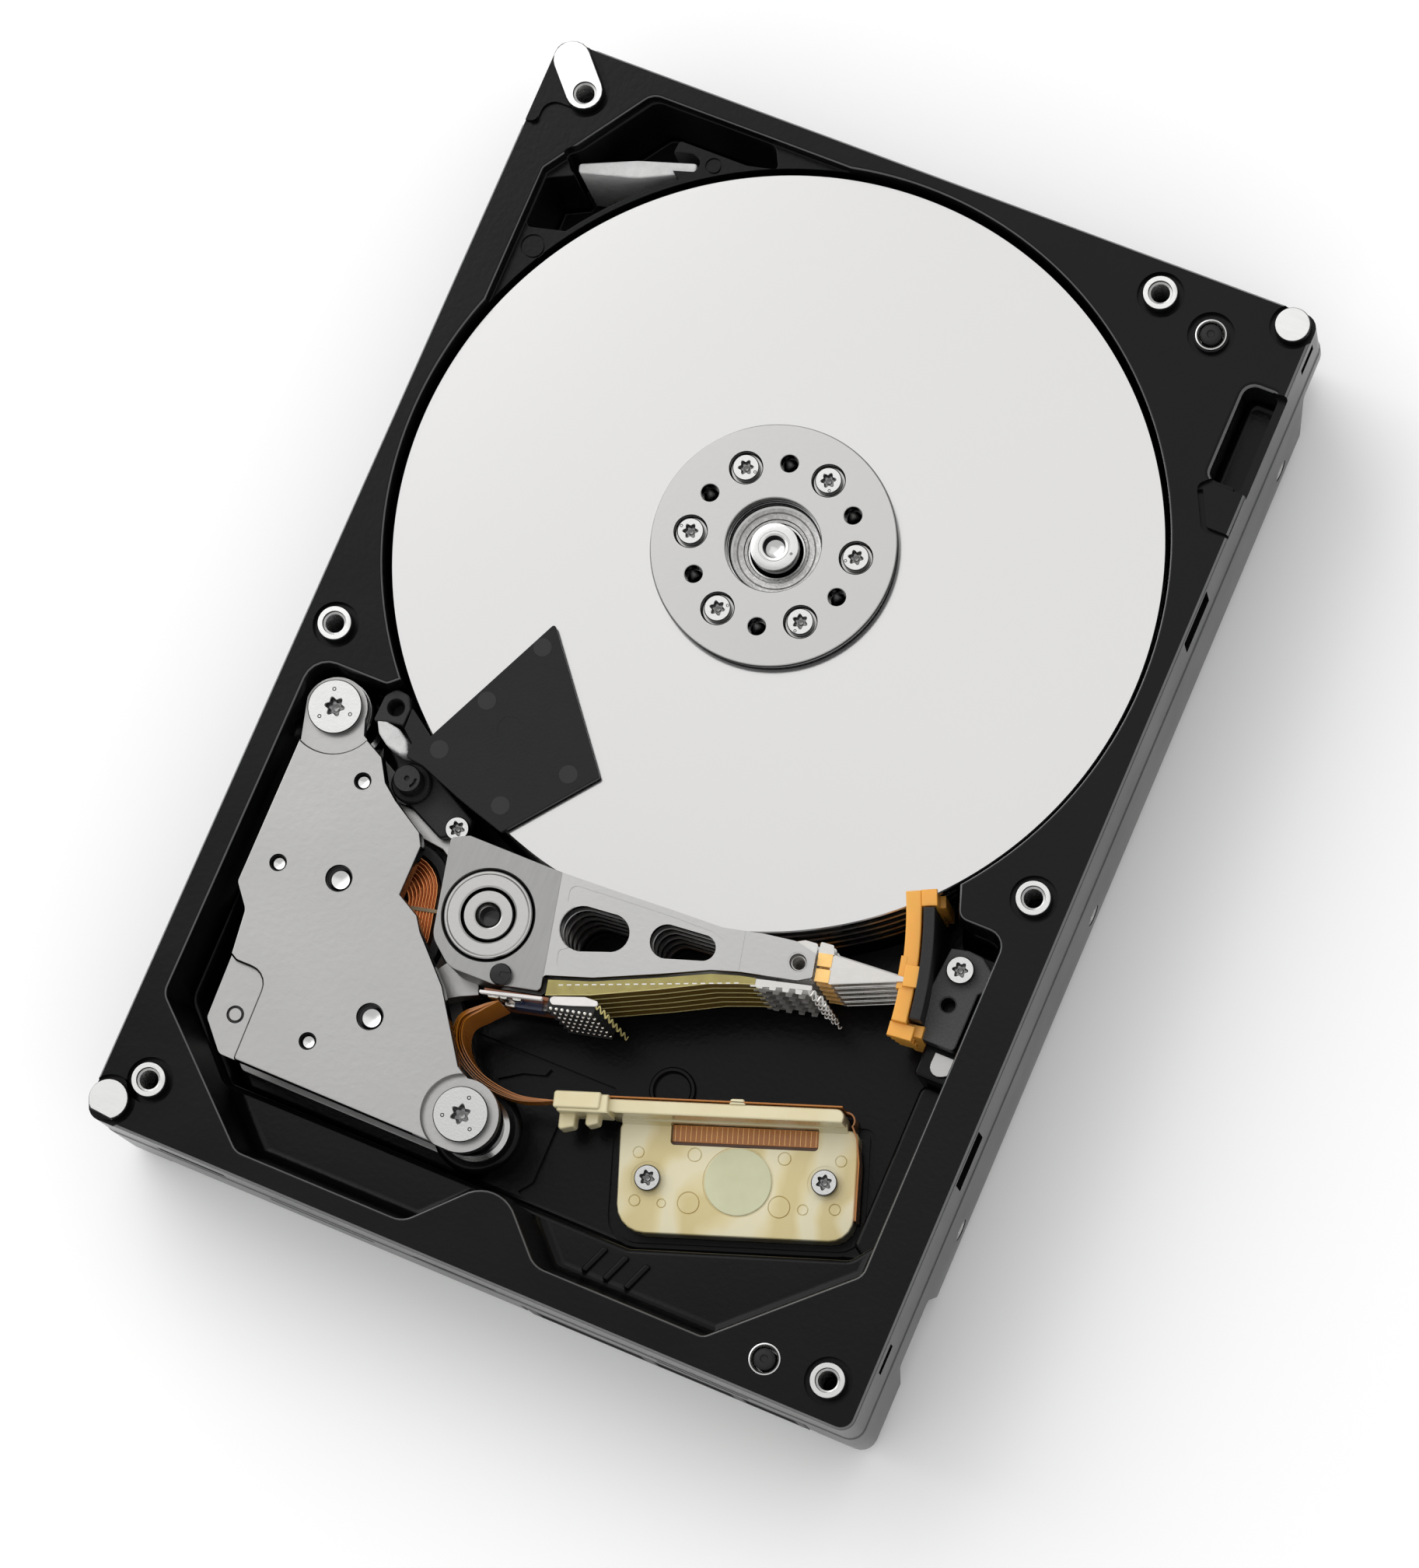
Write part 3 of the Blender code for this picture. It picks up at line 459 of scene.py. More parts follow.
# Deck details: grooves round the corner pads, the edge pocket and the small raised island
corner_route = ([(-51.5, 61.1), (-50.4, 61.1)] + arc((-50.0, 62.3), 1.2, -80, 0, 5)
    + arc((-47.4, 63.2), 1.4, 180, 90, 5) + [(-45.6, 64.6)] + arc((-44.8, 67.1), 2.7, -95, 40, 9)
    + [(-46.0, 72.4), (-46.9, 74.0)])
shaped(casting, [slab(ribbon(corner_route, 0.42), 23.5, CLEAR)])
shaped(casting, [slab([(-52.0, 61.2), (-50.4, 61.2), (-49.0, 62.5), (-48.9, 63.6), (-47.6, 64.7),
    (-45.6, 64.7), (-44.0, 66.9), (-46.9, 74.0), (-52.0, 74.0)], 24.0, CLEAR)])
grooves = [turned([(r, 23.5), (r + 0.75, 23.5), (r + 0.75, CLEAR), (r, CLEAR)], c, 40)
    for c, r in (((48.0, 70.6), 2.1), ((39.2, 66.1), 2.15), ((-48.1, -70.1), 2.4), ((31.6, 68.6), 2.15),
    ((-46.4, -6.1), 2.15), ((46.1, -5.9), 2.15), ((-44.5, -66.1), 2.15), ((45.9, -68.0), 2.15))]
shaped(casting, grooves)
edge_slot = [(45.6, 49.6, 1.0), (49.6, 49.6, 0.6), (49.6, 62.0, 0.6), (45.6, 62.0, 1.4)]
shaped(casting, [hollow(edge_slot, 17.0, DECK, 0.8, 0.8)])
shaped(casting, [block(48.9, 60.0, 49.0, 62.2, 22.5, CLEAR)])
island = rounded([(45.1, 48.2, 0.6), (46.3, 49.4, 0.5), (50.9, 49.4), (50.9, 43.6), (47.6, 43.4, 0.8)])
shaped(casting, [slab(ribbon(island + island[:1], 0.35), 23.5, CLEAR)])

# Rails, notches, board bay, latch recesses and the side and bottom holes
shaped(casting, [slab([(-43.9, -90), (43.9, -90), (43.9, 7.6), (-43.9, 7.6)], -5.0, 4.2)])
shaped(casting, [slab([(-43.9, 9.6, 2.0), (43.9, 9.6, 2.0), (43.9, 70.0, 3.0), (-43.9, 70.0, 3.0)], -5.0,
    3.2)])
shaped(casting, [block(5.2, 43.0, -90.0, -63.0, -6.0, 9.4)])
notch = [(-64.5, -5.0), (-64.5, 0.0), (-62.2, 9.0, 0.8), (-53.6, 9.0, 0.8), (-51.6, 0.0), (-51.6, -5.0)]
end_cut = [(62.6, -5.0), (62.6, 0.0), (65.8, 12.5, 0.8), (90.0, 12.5), (90.0, -5.0)]
shaped(casting, [across(outline, *span) for outline in (notch, end_cut)
    for span in ((46.6, 60.0), (-60.0, -46.6))])
SIDE_HOLES = (-44.0, -2.4, 57.6)
side_cuts = []
for y in SIDE_HOLES:
    hole = circle((y, 6.35), 1.4, 24)
    side_cuts += [across(hole, 46.8, 60.0), across(hole, -60.0, -46.8)]
for y in (-40.9, 29.7):
    side_cuts.append(block(49.9, 60.0, y, y + 7.0, 18.6, 23.2))
for y, wide in ((-64.7, 3.7), (66.4, 3.6)):
    side_cuts.append(block(50.3, 60.0, y, y + wide, 20.0, 22.0))
shaped(casting, side_cuts)
end_cuts = [block(x, x + wide, -80.0, -72.6, low, low + tall)
    for x, wide, low, tall in ((-42.0, 9.0, 16.5, 2.2), (-28.0, 14.0, 11.5, 1.4), (-8.0, 11.0, 15.0, 1.2),
    (24.0, 12.0, 12.0, 1.4))]
shaped(casting, end_cuts)
shaped(casting, [slab(circle((x, y), 1.4, 24), -5.0, 4.0) for x in (-47.625, 47.625) for y in (-31.2, 13.25)])

# Raised pads, the seats in the wells, floor ribs and a row of plain raised bars
PORTS = ((39.2, 66.1), (37.9, -68.5))
BOSSES = ((31.6, 68.6), (-46.4, -6.1), (46.1, -5.9), (-44.5, -66.1), (45.9, -68.0))
SCREW_HOLES = BOSSES + ((-44.6, 66.9),)
slot_pad = stadium((-47.9, 70.4), (-44.8, 67.1), 2.4, 2.4)
chord_pad = arc((-48.1, -70.1), 2.5, -60, 230, 24)
pads = [slab(slot_pad, 22.0, 25.2, 0.15), slab(circle((48.0, 70.6), 2.2, 36), 22.0, 25.2, 0.15),
    slab(chord_pad, 22.0, 25.2, 0.15)]
pads += [slab(circle(c, 2.2, 36), 22.0, 25.2, 0.15) for c in BOSSES]
shaped(casting, pads, "UNION")
ledge = [(40.1, -29.6, 1.2), (46.0, -29.6), (46.0, -52.6), (42.6, -52.6), (40.1, -51.0, 0.8)]
plinth = [(39.5, -29.7, 0.6), (46.0, -29.7), (46.0, -13.2), (39.5, -13.2)]
shaped(casting, [slab(ledge, 5.0, 10.5, 0.6)], "UNION")
shaped(casting, [slab(plinth, 5.0, 15.9, 0.4)], "UNION")
ring_rib = [(2.2, 5.0), (2.9, 5.0), (2.9, 6.5), (2.75, 6.7), (2.4, 6.7), (2.2, 6.5)]
seats = [turned(ring_rib, (11.4, -41.6), 48), slab(circle((-8.0, -55.4), 5.6, 48), 5.0, 12.0, 0.8)]
shaped(casting, seats, "UNION")
floor_cuts = [slab(ribbon(route, 0.3), 5.2, 9.0) for route in ([(-14.6, -44.3), (4.6, -44.2), (6.2, -45.2),
    (7.6, -47.6)], [(-3.4, -44.9), (-3.9, -46.0), (-6.6, -46.8), (-9.2, -48.5)],
    [(0.1, -47.0), (0.1, -58.5), (-1.2, -60.3)])]
for cut in floor_cuts:
    shaped(casting, [cut])
bracket_bed = placed(rounded([(-16.0, 7.6, 1.0), (-16.0, -7.6, 3.5), (15.6, -7.6, 3.5), (15.6, 7.6, 1.0)]),
    (24.0, -49.3), 19.5)
shaped(casting, [slab(ribbon(bracket_bed + bracket_bed[:1], 0.3), 5.5, 9.0)])
shaped(casting, [slab([(x, -66.6, 0.3), (x + 0.9, -66.6, 0.3), (x + 2.4, -62.9, 0.3), (x + 1.5, -62.9, 0.3)],
    13.5, 14.55, 0.25) for x in (11.2, 14.0, 16.8)], "UNION")
shaped(casting, [turned([(0, 15.0), (1.45, 15.0), (1.45, 27.0), (0, 27.0)], c, 28) for c in SCREW_HOLES])
shaped(casting, [turned([(0, 20.0), (1.95, 20.0), (1.95, 27.0), (0, 27.0)], c, 32) for c in PORTS])
finished(casting, black_coat, "base")
# Painted highlight: the rounded rims along the deck's edges get a lighter grey than the coat, and a much
# stronger specular, so that they show as thin bright lines.
rim_painted_highlight = finish("rim_painted_highlight", (0.035, 0.035, 0.036), (0.075, 0.075, 0.077), 0.20, scale=700.0, fine=1500.0,
    spread=0.2, bump=0.1, Specular_IOR_Level=0.9)
dressed(casting, rim_painted_highlight, lambda x, y, z, n: 0.25 < n.z < 0.95 and 24.0 < z < 24.395)
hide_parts("base_casting")

# ==== Machined faces of the casting ====
# The screw bosses and the corner pads are milled flat after coating, so their
# tops are bare bright metal with fine cutter lines.
bare_metal = finish("bare_metal", (0.68, 0.68, 0.67), (0.56, 0.56, 0.55), 0.30, 1.0, scale=300.0, fine=2500.0,
    spread=0.16, bump=0.06, stretch=(1, 6, 1))
tops = [slab(grown(slot_pad, -0.12), 25.0, 25.38, 0.05), slab(circle((48.0, 70.6), 2.08, 40), 25.0, 25.38,
    0.05), slab(grown(chord_pad, -0.12), 25.0, 25.38, 0.05)]
tops += [slab(circle(c, 2.08, 40), 25.0, 25.38, 0.05) for c in BOSSES]
milled = raw("machined_faces", tops)
shaped(milled, [turned([(0, 22.0), (1.15, 22.0), (1.15, 24.6), (1.5, 25.0), (1.5, 27.0), (0, 27.0)], c, 32)
    for c in SCREW_HOLES])
finished(milled, bare_metal, "base")

# Tapped holes: a bright thread inside each boss, and a bright seat round each port
thread = finish("thread", (0.62, 0.62, 0.61), (0.25, 0.25, 0.25), 0.28, 1.0, scale=1400.0, spread=0.2,
    bump=0.15)
sleeve_turns = []
for c in SCREW_HOLES:
    profile = [(1.43, 16.0), (1.43, 25.0)]
    for k in range(16):
        profile += [(1.18, 24.9 - k * 0.5), (1.3, 24.65 - k * 0.5)]
    sleeve_turns.append(turned(profile, c, 28))
made_of("tapped_holes", sleeve_turns, thread, "base")
cup = [(0, 20.1), (1.9, 20.1), (1.9, 24.55), (1.75, 24.6), (1.55, 24.4), (1.5, 20.3), (0, 20.3)]
made_of("port_cups", [turned(cup, c, 36) for c in PORTS], bare_metal, "base")
SIDE_SLEEVE = [(1.38, 0.0), (1.38, 3.8), (1.2, 3.7), (1.1, 3.3), (1.2, 2.9), (1.1, 2.5), (1.2, 2.1),
    (1.1, 1.7), (1.2, 1.3), (1.1, 0.6), (1.1, 0.0)]
side_threads = []
for y in SIDE_HOLES:
    points, sides = turned(SIDE_SLEEVE, (0, 0), 24)
    for side in (1, -1):
        side_threads.append(([(side * (46.9 + z), y + a, 6.35 + b) for a, b, z in points], sides))
made_of("side_threads", side_threads, thread, "base")

# ==== Spindle and discs ====
# A steel shaft stands in the casting. The hub turns on it and carries five
# coated discs with spacers between, held down by a turned clamp and six screws.
turned_steel = finish("turned_steel", (0.64, 0.64, 0.63), (0.54, 0.54, 0.53), 0.20, 1.0, scale=500.0,
    fine=4000.0, spread=0.12, bump=0.04)
# A near-black metal. It paints shade on side walls, edges and the insides of holes of the bright metal parts,
# and also dresses the screw dots and the whole stub pin.
dark_metal_and_painted_shade = finish("dark_metal_and_painted_shade", (0.055, 0.055, 0.055), (0.02, 0.02, 0.02), 0.14, 1.0, scale=300.0,
    fine=2500.0, spread=0.10, bump=0.04)
disc_coat = finish("disc_coat", (0.585, 0.58, 0.575), (0.57, 0.565, 0.56), 0.16, 1.0, scale=20.0, fine=900.0,
    spread=0.04, bump=0.01)
clamp_metal = finish("clamp_metal", (0.46, 0.455, 0.447), (0.44, 0.436, 0.428), 0.24, 1.0, scale=120.0,
    fine=2600.0, spread=0.06, bump=0.03)
etched_steel = finish("etched_steel", (0.62, 0.61, 0.60), (0.40, 0.40, 0.39), 0.42, 1.0, scale=2200.0,
    fine=5000.0, spread=0.3, bump=0.35)
winding_copper = finish("winding_copper", (0.86, 0.34, 0.13), (0.60, 0.22, 0.08), 0.24, 1.0, scale=600.0,
    spread=0.15, bump=0.1)


def set_at(solids, origin, degrees=0.0):
    """Solids turned about their own origin and moved to a place."""
    moved = []
    for points, faces in solids:
        flat = placed([(x, y) for x, y, z in points], origin, degrees)
        moved.append(([(x, y, p[2]) for (x, y), p in zip(flat, points)], faces))
    return moved


def star(centre, radius, turn):
    """Six-lobed driver recess."""
    points = []
    for i in range(60):
        a = 2 * math.pi * i / 60
        reach = radius * (0.84 + 0.16 * math.cos(6 * a))
        points.append((centre[0] + reach * math.cos(a + turn), centre[1] + reach * math.sin(a + turn)))
    return points


def cut_star(piece, centre, radius, top, depth, turn=0.0):
    """Driver recess with walls that lean in a little and a chamfered mouth."""
    shaped(piece, [stack([(star(centre, radius * 0.72, turn), top - depth),
        (star(centre, radius * 0.95, turn), top - 0.07), (star(centre, radius * 1.07, turn), top + 0.01),
        (star(centre, radius * 1.07, turn), top + 1.0)])])
    shaped(piece, [turned([(0, top - depth - 0.25), (radius * 0.5, top - depth + 0.05),
        (radius * 0.5, top - depth + 0.4), (0, top - depth + 0.4)], centre, 20)])


def screw_shape(low, seat, shank, head, top, bevel=0.12):
    """Profile of a pan-head screw from its tip up."""
    return [(0, low), (shank, low + 0.3), (shank, seat), (head, seat), (head, top - bevel),
        (head - 0.4 * bevel, top - 0.3 * bevel), (head - bevel, top), (0, top)]


# Painted shade: a darker grey copy of the screw steel for the floor and walls of the driver recesses.
recess_painted_shade = finish("recess_painted_shade", (0.24, 0.24, 0.235), (0.12, 0.12, 0.12), 0.18, 1.0, scale=1500.0,
    spread=0.2, bump=0.1)


def screw(name, node, body, place, sizes, top, recess, turn=0.0, dots=()):
    """Pan-head screw with its driver recess and witness dots, in place of a CAD node."""
    made = raw(name, [turned(screw_shape(*sizes, top), place, 48)])
    cut_star(made, place, recess, top, 0.8 * recess, math.radians(turn))
    for angle, radius, size in dots:
        shaped(made, [turned([(size * 0.55, top - 0.09), (size, top - 0.09), (size, top + 1.0),
            (size * 0.55, top + 1.0)], spot_at(place, radius, angle), 14)])
    finished(made, turned_steel, body, 25)
    # Painted shade: the driver recess is made darker than the head.
    dressed(made, recess_painted_shade, lambda x, y, z, n: math.dist((x, y), place) < recess * 1.1 and z < top - 0.02)
    # Painted shade: the sides and bevel of the head are made near black.
    dressed(made, dark_metal_and_painted_shade, lambda x, y, z, n: n.z < 0.9 and math.dist((x, y), place) > recess * 1.3)
    # The small ring groove of each dot is made near black.
    for angle, radius, size in dots:
        spot = spot_at(place, radius, angle)
        dressed(made, dark_metal_and_painted_shade, lambda x, y, z, n: math.dist((x, y), spot) < size and z < top - 0.01)
    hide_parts(node)


shaft = raw("shaft", [turned([(0, 5.8), (3.0, 5.8), (3.0, 22.85), (2.93, 22.97), (2.8, 23.0), (1.98, 23.0),
    (1.93, 22.9), (1.83, 22.9), (1.78, 23.0), (1.55, 23.0), (1.42, 22.95), (1.2, 22.3), (1.15, 21.7),
    (0, 21.2)], SPINDLE, 64)])
shaped(shaft, [slab(circle((SPINDLE[0] + 2.3, SPINDLE[1] - 0.1), 0.2, 16), 22.4, 24.0)])
finished(shaft, turned_steel, "base", 25)
# Painted shade: the shaft's side below its top is made near black.
dressed(shaft, dark_metal_and_painted_shade, lambda x, y, z, n: n.z < 0.5 and z < 22.7)
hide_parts("spindle_shaft")

teeth = [turned([(4.0, 7.7), (6.0, 7.7), (6.0, 12.0), (4.0, 12.0)], SPINDLE, 40)]
teeth += [slab(placed([(5.8, -0.6), (9.4, -0.9), (9.4, 0.9), (5.8, 0.6)], SPINDLE, 30 * k), 8.2, 11.8, 0.2)
    for k in range(12)]
stator = raw("stator", teeth[:1])
for tooth in teeth[1:]:
    shaped(stator, [tooth], "UNION")
finished(stator, winding_copper, "base")
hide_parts("spindle_stator")

hub = raw("hub", [turned([(10.2, 7.05), (14.9, 7.05), (14.9, 7.95), (12.32, 7.95), (12.32, 21.9),
    (12.2, 22.0), (5.75, 22.0), (5.6, 21.8), (5.6, 20.95), (5.35, 20.8), (4.9, 20.75), (4.8, 20.65),
    (4.7, 20.75), (4.05, 20.7), (3.95, 20.55), (3.6, 20.5), (3.5, 20.3), (3.3, 20.3), (3.3, 13.3),
    (10.2, 13.3)], SPINDLE, 96)])
HOLE_RING = 10.3
hub_holes = [turned([(0, 16.0), (0.95, 16.5), (0.95, 21.9), (1.05, 22.0), (1.05, CLEAR), (0, CLEAR)],
    spot_at(SPINDLE, HOLE_RING, a), 24) for a in range(12, 372, 30)]
shaped(hub, hub_holes)
finished(hub, turned_steel, "spindle", 25)
dressed(hub, etched_steel, lambda x, y, z, n: n.z > 0.7 and 3.6 < math.dist((x, y), SPINDLE) < 5.4)
# Painted shade: the walls of the hub's holes and of its middle, round the shaft, are made near black.
dressed(hub, dark_metal_and_painted_shade, lambda x, y, z, n: n.z < 0.5 and math.dist((x, y), SPINDLE) < 11.9)
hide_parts("spindle_hub")

DISC_STEP = 3.1
DISC_THICK = 1.27
DISC_TOPS = [22.0 - DISC_STEP * i for i in range(5)]
for i, top in enumerate(DISC_TOPS):
    profile = [(12.65, top - 1.2), (12.75, top - DISC_THICK), (47.35, top - DISC_THICK), (47.5, top - 1.1),
        (47.5, top - 0.17), (47.35, top), (12.75, top), (12.65, top - 0.07)]
    disc = raw(f"smooth_disc_{i + 1}", [turned(profile, SPINDLE, 240)])
    finished(disc, disc_coat, "spindle", 25)
    # Painted shade: the rim of each disc is made near black.
    dressed(disc, dark_metal_and_painted_shade, lambda x, y, z, n: abs(n.z) < 0.5)
    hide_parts(f"disc_{i + 1}")
    if i:
        low, high = top + 0.3, top + 1.53
        profile = [(12.65, low), (15.1, low), (15.2, low + 0.1), (15.2, high - 0.1), (15.1, high),
            (12.65, high)]
        spacer = raw(f"smooth_spacer_{i}", [turned(profile, SPINDLE, 96)])
        finished(spacer, bare_metal, "spindle", 25)
        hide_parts(f"disc_spacer_{i}")

clamp = raw("clamp", [turned([(5.9, 22.32), (14.9, 22.32), (15.05, 22.5), (15.2, 23.6), (15.1, 23.9),
    (15.0, 24.0), (6.0, 24.0), (5.9, 23.9)], SPINDLE, 160)])
clamp_spots = [spot_at(SPINDLE, HOLE_RING, a) for a in range(12, 372, 60)]
clamp_gaps = [spot_at(SPINDLE, HOLE_RING, a) for a in range(42, 402, 60)]
seat_cut = [(0, 20.0), (1.2, 20.0), (1.2, 23.1), (1.9, 23.1), (2.0, 23.2), (2.0, 23.85), (2.12, 24.0),
    (2.12, 26.0), (0, 26.0)]
shaped(clamp, [turned(seat_cut, c, 40) for c in clamp_spots])
gap_cut = [(0, 20.0), (1.1, 20.0), (1.1, 23.92), (1.18, 24.0), (1.18, 26.0), (0, 26.0)]
shaped(clamp, [turned(gap_cut, c, 32) for c in clamp_gaps])
finished(clamp, clamp_metal, "spindle", 25)
# Painted shade: the clamp's side walls and hole walls are made near black.
dressed(clamp, dark_metal_and_painted_shade, lambda x, y, z, n: n.z < 0.6)
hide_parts("disc_clamp")

# Each screw has a witness dot that ended up where its torque ran out
for k, (place, dot) in enumerate(zip(clamp_spots, (-140, -62, -6, 171, 35, -95))):
    screw(f"clamp_screw_head_{k + 1}", f"clamp_screw_{k + 1}", "spindle", place, (17.9, 23.4, 0.8, 1.65),
        24.2, 0.95, dot + 30, [(dot, 1.3, 0.2)])

# ==== Actuator ====
# An extruded and milled aluminium block turns on a bearing cartridge. It has
# six arms with the heads at their tips, and a copper coil in the fork behind.
PIVOT = (-14.5, -32.0)
PARKED = 13.2
TIP_HOLE = (38.2, 0)
ARM_PLANES = [22.915 - DISC_STEP * i for i in range(6)]

milled_block = finish("milled_block", (0.30, 0.297, 0.29), (0.25, 0.248, 0.243), 0.36, 1.0, scale=260.0,
    fine=1800.0, spread=0.12, bump=0.08, stretch=(8, 1, 1))
milled_arm = finish("milled_arm", (0.46, 0.456, 0.447), (0.41, 0.406, 0.398), 0.30, 1.0, scale=200.0,
    fine=1800.0, spread=0.08, bump=0.05)
black_plastic = finish("black_plastic", (0.009, 0.009, 0.0095), (0.016, 0.016, 0.017), 0.45, scale=700.0,
    fine=4000.0, spread=0.15, bump=0.18, Specular_IOR_Level=0.30)
spring_steel = finish("spring_steel", (0.62, 0.605, 0.58), (0.54, 0.525, 0.50), 0.28, 1.0, scale=500.0,
    fine=2000.0, spread=0.10, bump=0.03)
gold = finish("gold", (0.95, 0.62, 0.24), (0.85, 0.50, 0.16), 0.28, 0.6, scale=900.0, spread=0.15, bump=0.05)
olive_film = finish("olive_film", (0.38, 0.33, 0.08), (0.20, 0.15, 0.03), 0.20, scale=700.0, fine=2500.0,
    spread=0.2, bump=0.12, Coat_Weight=0.5, Coat_Roughness=0.1)
# Painted shade: a copy of the olive lead film, three to four times darker, for the leads on the lower arms
# under the discs.
lead_film_painted_shade = finish("lead_film_painted_shade", (0.13, 0.085, 0.018), (0.07, 0.04, 0.01), 0.20, scale=700.0, fine=2500.0,
    spread=0.2, bump=0.12, Coat_Weight=0.5, Coat_Roughness=0.1)
lead_gilt = finish("lead_gilt", (0.66, 0.58, 0.26), (0.45, 0.38, 0.14), 0.3, scale=1200.0, spread=0.2)
amber_board = finish("amber_board", (0.30, 0.085, 0.012), (0.20, 0.045, 0.008), 0.22, scale=800.0,
    spread=0.15, bump=0.08, Coat_Weight=0.4, Coat_Roughness=0.1)
solder = finish("solder", (0.86, 0.84, 0.80), (0.62, 0.60, 0.56), 0.18, 1.0, scale=1500.0, spread=0.2,
    bump=0.2)
white_strip = finish("white_strip", (0.80, 0.78, 0.76), (0.66, 0.63, 0.61), 0.5, scale=900.0, spread=0.1)
blue_chip = finish("blue_chip", (0.020, 0.030, 0.075), (0.010, 0.014, 0.035), 0.25, scale=900.0, spread=0.1,
    Coat_Weight=0.4)


def on_arm(solids):
    return set_at(solids, PIVOT, PARKED)


def tube(route, radius, sides=6, closed=False):
    """Round wire along a route of (x, y, z)."""
    points, faces = [], []
    count = len(route)
    for i, (x, y, z) in enumerate(route):
        if closed:
            a, b = route[i - 1], route[(i + 1) % count]
        else:
            a, b = route[max(i - 1, 0)], route[min(i + 1, count - 1)]
        ux, uy = heading(a[:2], b[:2])
        for k in range(sides):
            t = 2 * math.pi * (k + 0.5) / sides
            out, up = radius * math.cos(t), radius * math.sin(t)
            points.append((x - uy * out, y + ux * out, z + up))
    for i in range(count if closed else count - 1):
        j = (i + 1) % count
        for k in range(sides):
            m = (k + 1) % sides
            faces.append((i * sides + k, j * sides + k, j * sides + m, i * sides + m))
    if not closed:
        faces.append(tuple(range(sides))[::-1])
        faces.append(tuple(range((count - 1) * sides, count * sides)))
    return points, faces


block_corners = [(-4.0, 9.3, 0.6), (-6.3, 8.7, 0.6), (-6.3, -3.6, 3.0), (-3.6, -7.0, 3.0), (2.0, -8.2, 1.0),
    (8.0, -8.2, 0.6), (8.0, -6.2, 0.4), (14.0, -5.6, 3.0), (22.0, -3.9, 3.0), (28.0, -2.5, 3.0), (31.5, -2.2),
    (38.4, -2.2, 1.0), (40.2, -1.6, 0.3), (40.2, 1.3, 0.3), (37.6, 2.5, 2.0), (33.5, 2.8), (28.5, 2.8, 3.0),
    (22.0, 4.0, 3.0), (15.0, 5.2, 3.0), (8.0, 6.5)]
arm_block = raw("arm_block", on_arm([slab(block_corners, 6.8, 23.5, 0.12, 0.1)]))
reach = arc((0, 0), 8.6, 80, -80, 24) + [(60.0, -20.0), (60.0, 20.0)]
gap_edges = [p + side * 0.5 for p in ARM_PLANES for side in (1, -1)]
gaps = list(zip(gap_edges[2::2], gap_edges[1::2])) + [(-5.0, gap_edges[-1])]
shaped(arm_block, on_arm([stack([(reach[::-1], low), (reach[::-1], high)]) for low, high in gaps]))
step = [(8.0, -30.0), (70.0, -30.0), (70.0, 30.0), (8.0, 30.0)]
shaped(arm_block, on_arm([slab(step, ARM_PLANES[0] + 0.5, CLEAR)]))
thin = [(35.6, -20.0), (60.0, -20.0), (60.0, 20.0), (35.6, 20.0)]
for p in ARM_PLANES[1:]:
    shaped(arm_block, on_arm([slab(thin, p + 0.2, p + 0.8), slab(thin, p - 0.8, p - 0.2)]))
shaped(arm_block, on_arm([slab(thin, ARM_PLANES[0] - 0.8, ARM_PLANES[0] - 0.2)]))
slots = (stadium((11.7, 0.1), (15.1, 0.1), 2.8, 2.35, 14), stadium((22.1, 0.1), (26.5, 0.0), 2.1, 1.6, 14))
for hole in slots:
    mouths = []
    for p in ARM_PLANES:
        mouths += [(hole, p - 0.44), (hole, p + 0.42), (grown(hole, 0.1), p + 0.5),
            (grown(hole, 0.1), p + 0.7), (hole, p + 0.72)]
    mouths = [(hole, 5.0)] + sorted(mouths, key=lambda level: level[1]) + [(hole, CLEAR)]
    shaped(arm_block, on_arm([stack(mouths)]))
arm_face = 23.415
relief = [(9.3, 5.3, 0.9), (15.0, 4.4), (22.0, 3.2), (27.5, 2.1, 1.5), (29.5, 1.0, 1.2), (29.5, -0.9, 1.2),
    (27.8, -1.9, 1.2), (22.0, -3.2), (14.0, -4.8), (9.3, -5.2, 0.9), (9.3, -2.9, 0.5), (11.6, -2.0),
    (11.6, 2.1), (9.3, 3.0, 0.5)]
shaped(arm_block, on_arm([slab(relief, arm_face - 0.07, CLEAR)]))
shaped(arm_block, on_arm([slab([(31.3, -9.0), (31.5, -9.0), (31.5, 9.0), (31.3, 9.0)], arm_face - 0.06,
    CLEAR)]))
shaped(arm_block, on_arm([turned([(0, 0.0), (5.62, 0.0), (5.62, 23.3), (5.8, 23.5), (5.8, CLEAR), (0, CLEAR)],
    (0, 0), 96), turned([(0, 0.0), (0.9, 0.0), (0.9, arm_face - 0.5), (1.05, arm_face - 0.3), (1.05, CLEAR),
    (0, CLEAR)], TIP_HOLE, 32)]))
shaped(arm_block, on_arm([turned([(1.15, arm_face - 0.05), (1.25, arm_face - 0.05), (1.25, CLEAR),
    (1.15, CLEAR)], TIP_HOLE, 32)]))
shaped(arm_block, on_arm([slab(circle((3.0, -7.0), 0.9, 20), 20.5, CLEAR)]))
fork = [(-5.0, 9.0), (-8.6, 11.2), (-12.4, 12.5), (-21.5, 15.4), (-21.5, 12.8), (-8.6, 8.3), (-5.0, 4.8)]
low_fork = [(-1.0, -7.6), (-0.8, -8.8), (-3.0, -9.3), (-8.6, -11.2), (-12.4, -12.5), (-21.5, -15.4),
    (-21.5, -12.8), (-8.6, -8.3), (-5.0, -5.0), (-2.4, -6.2)]


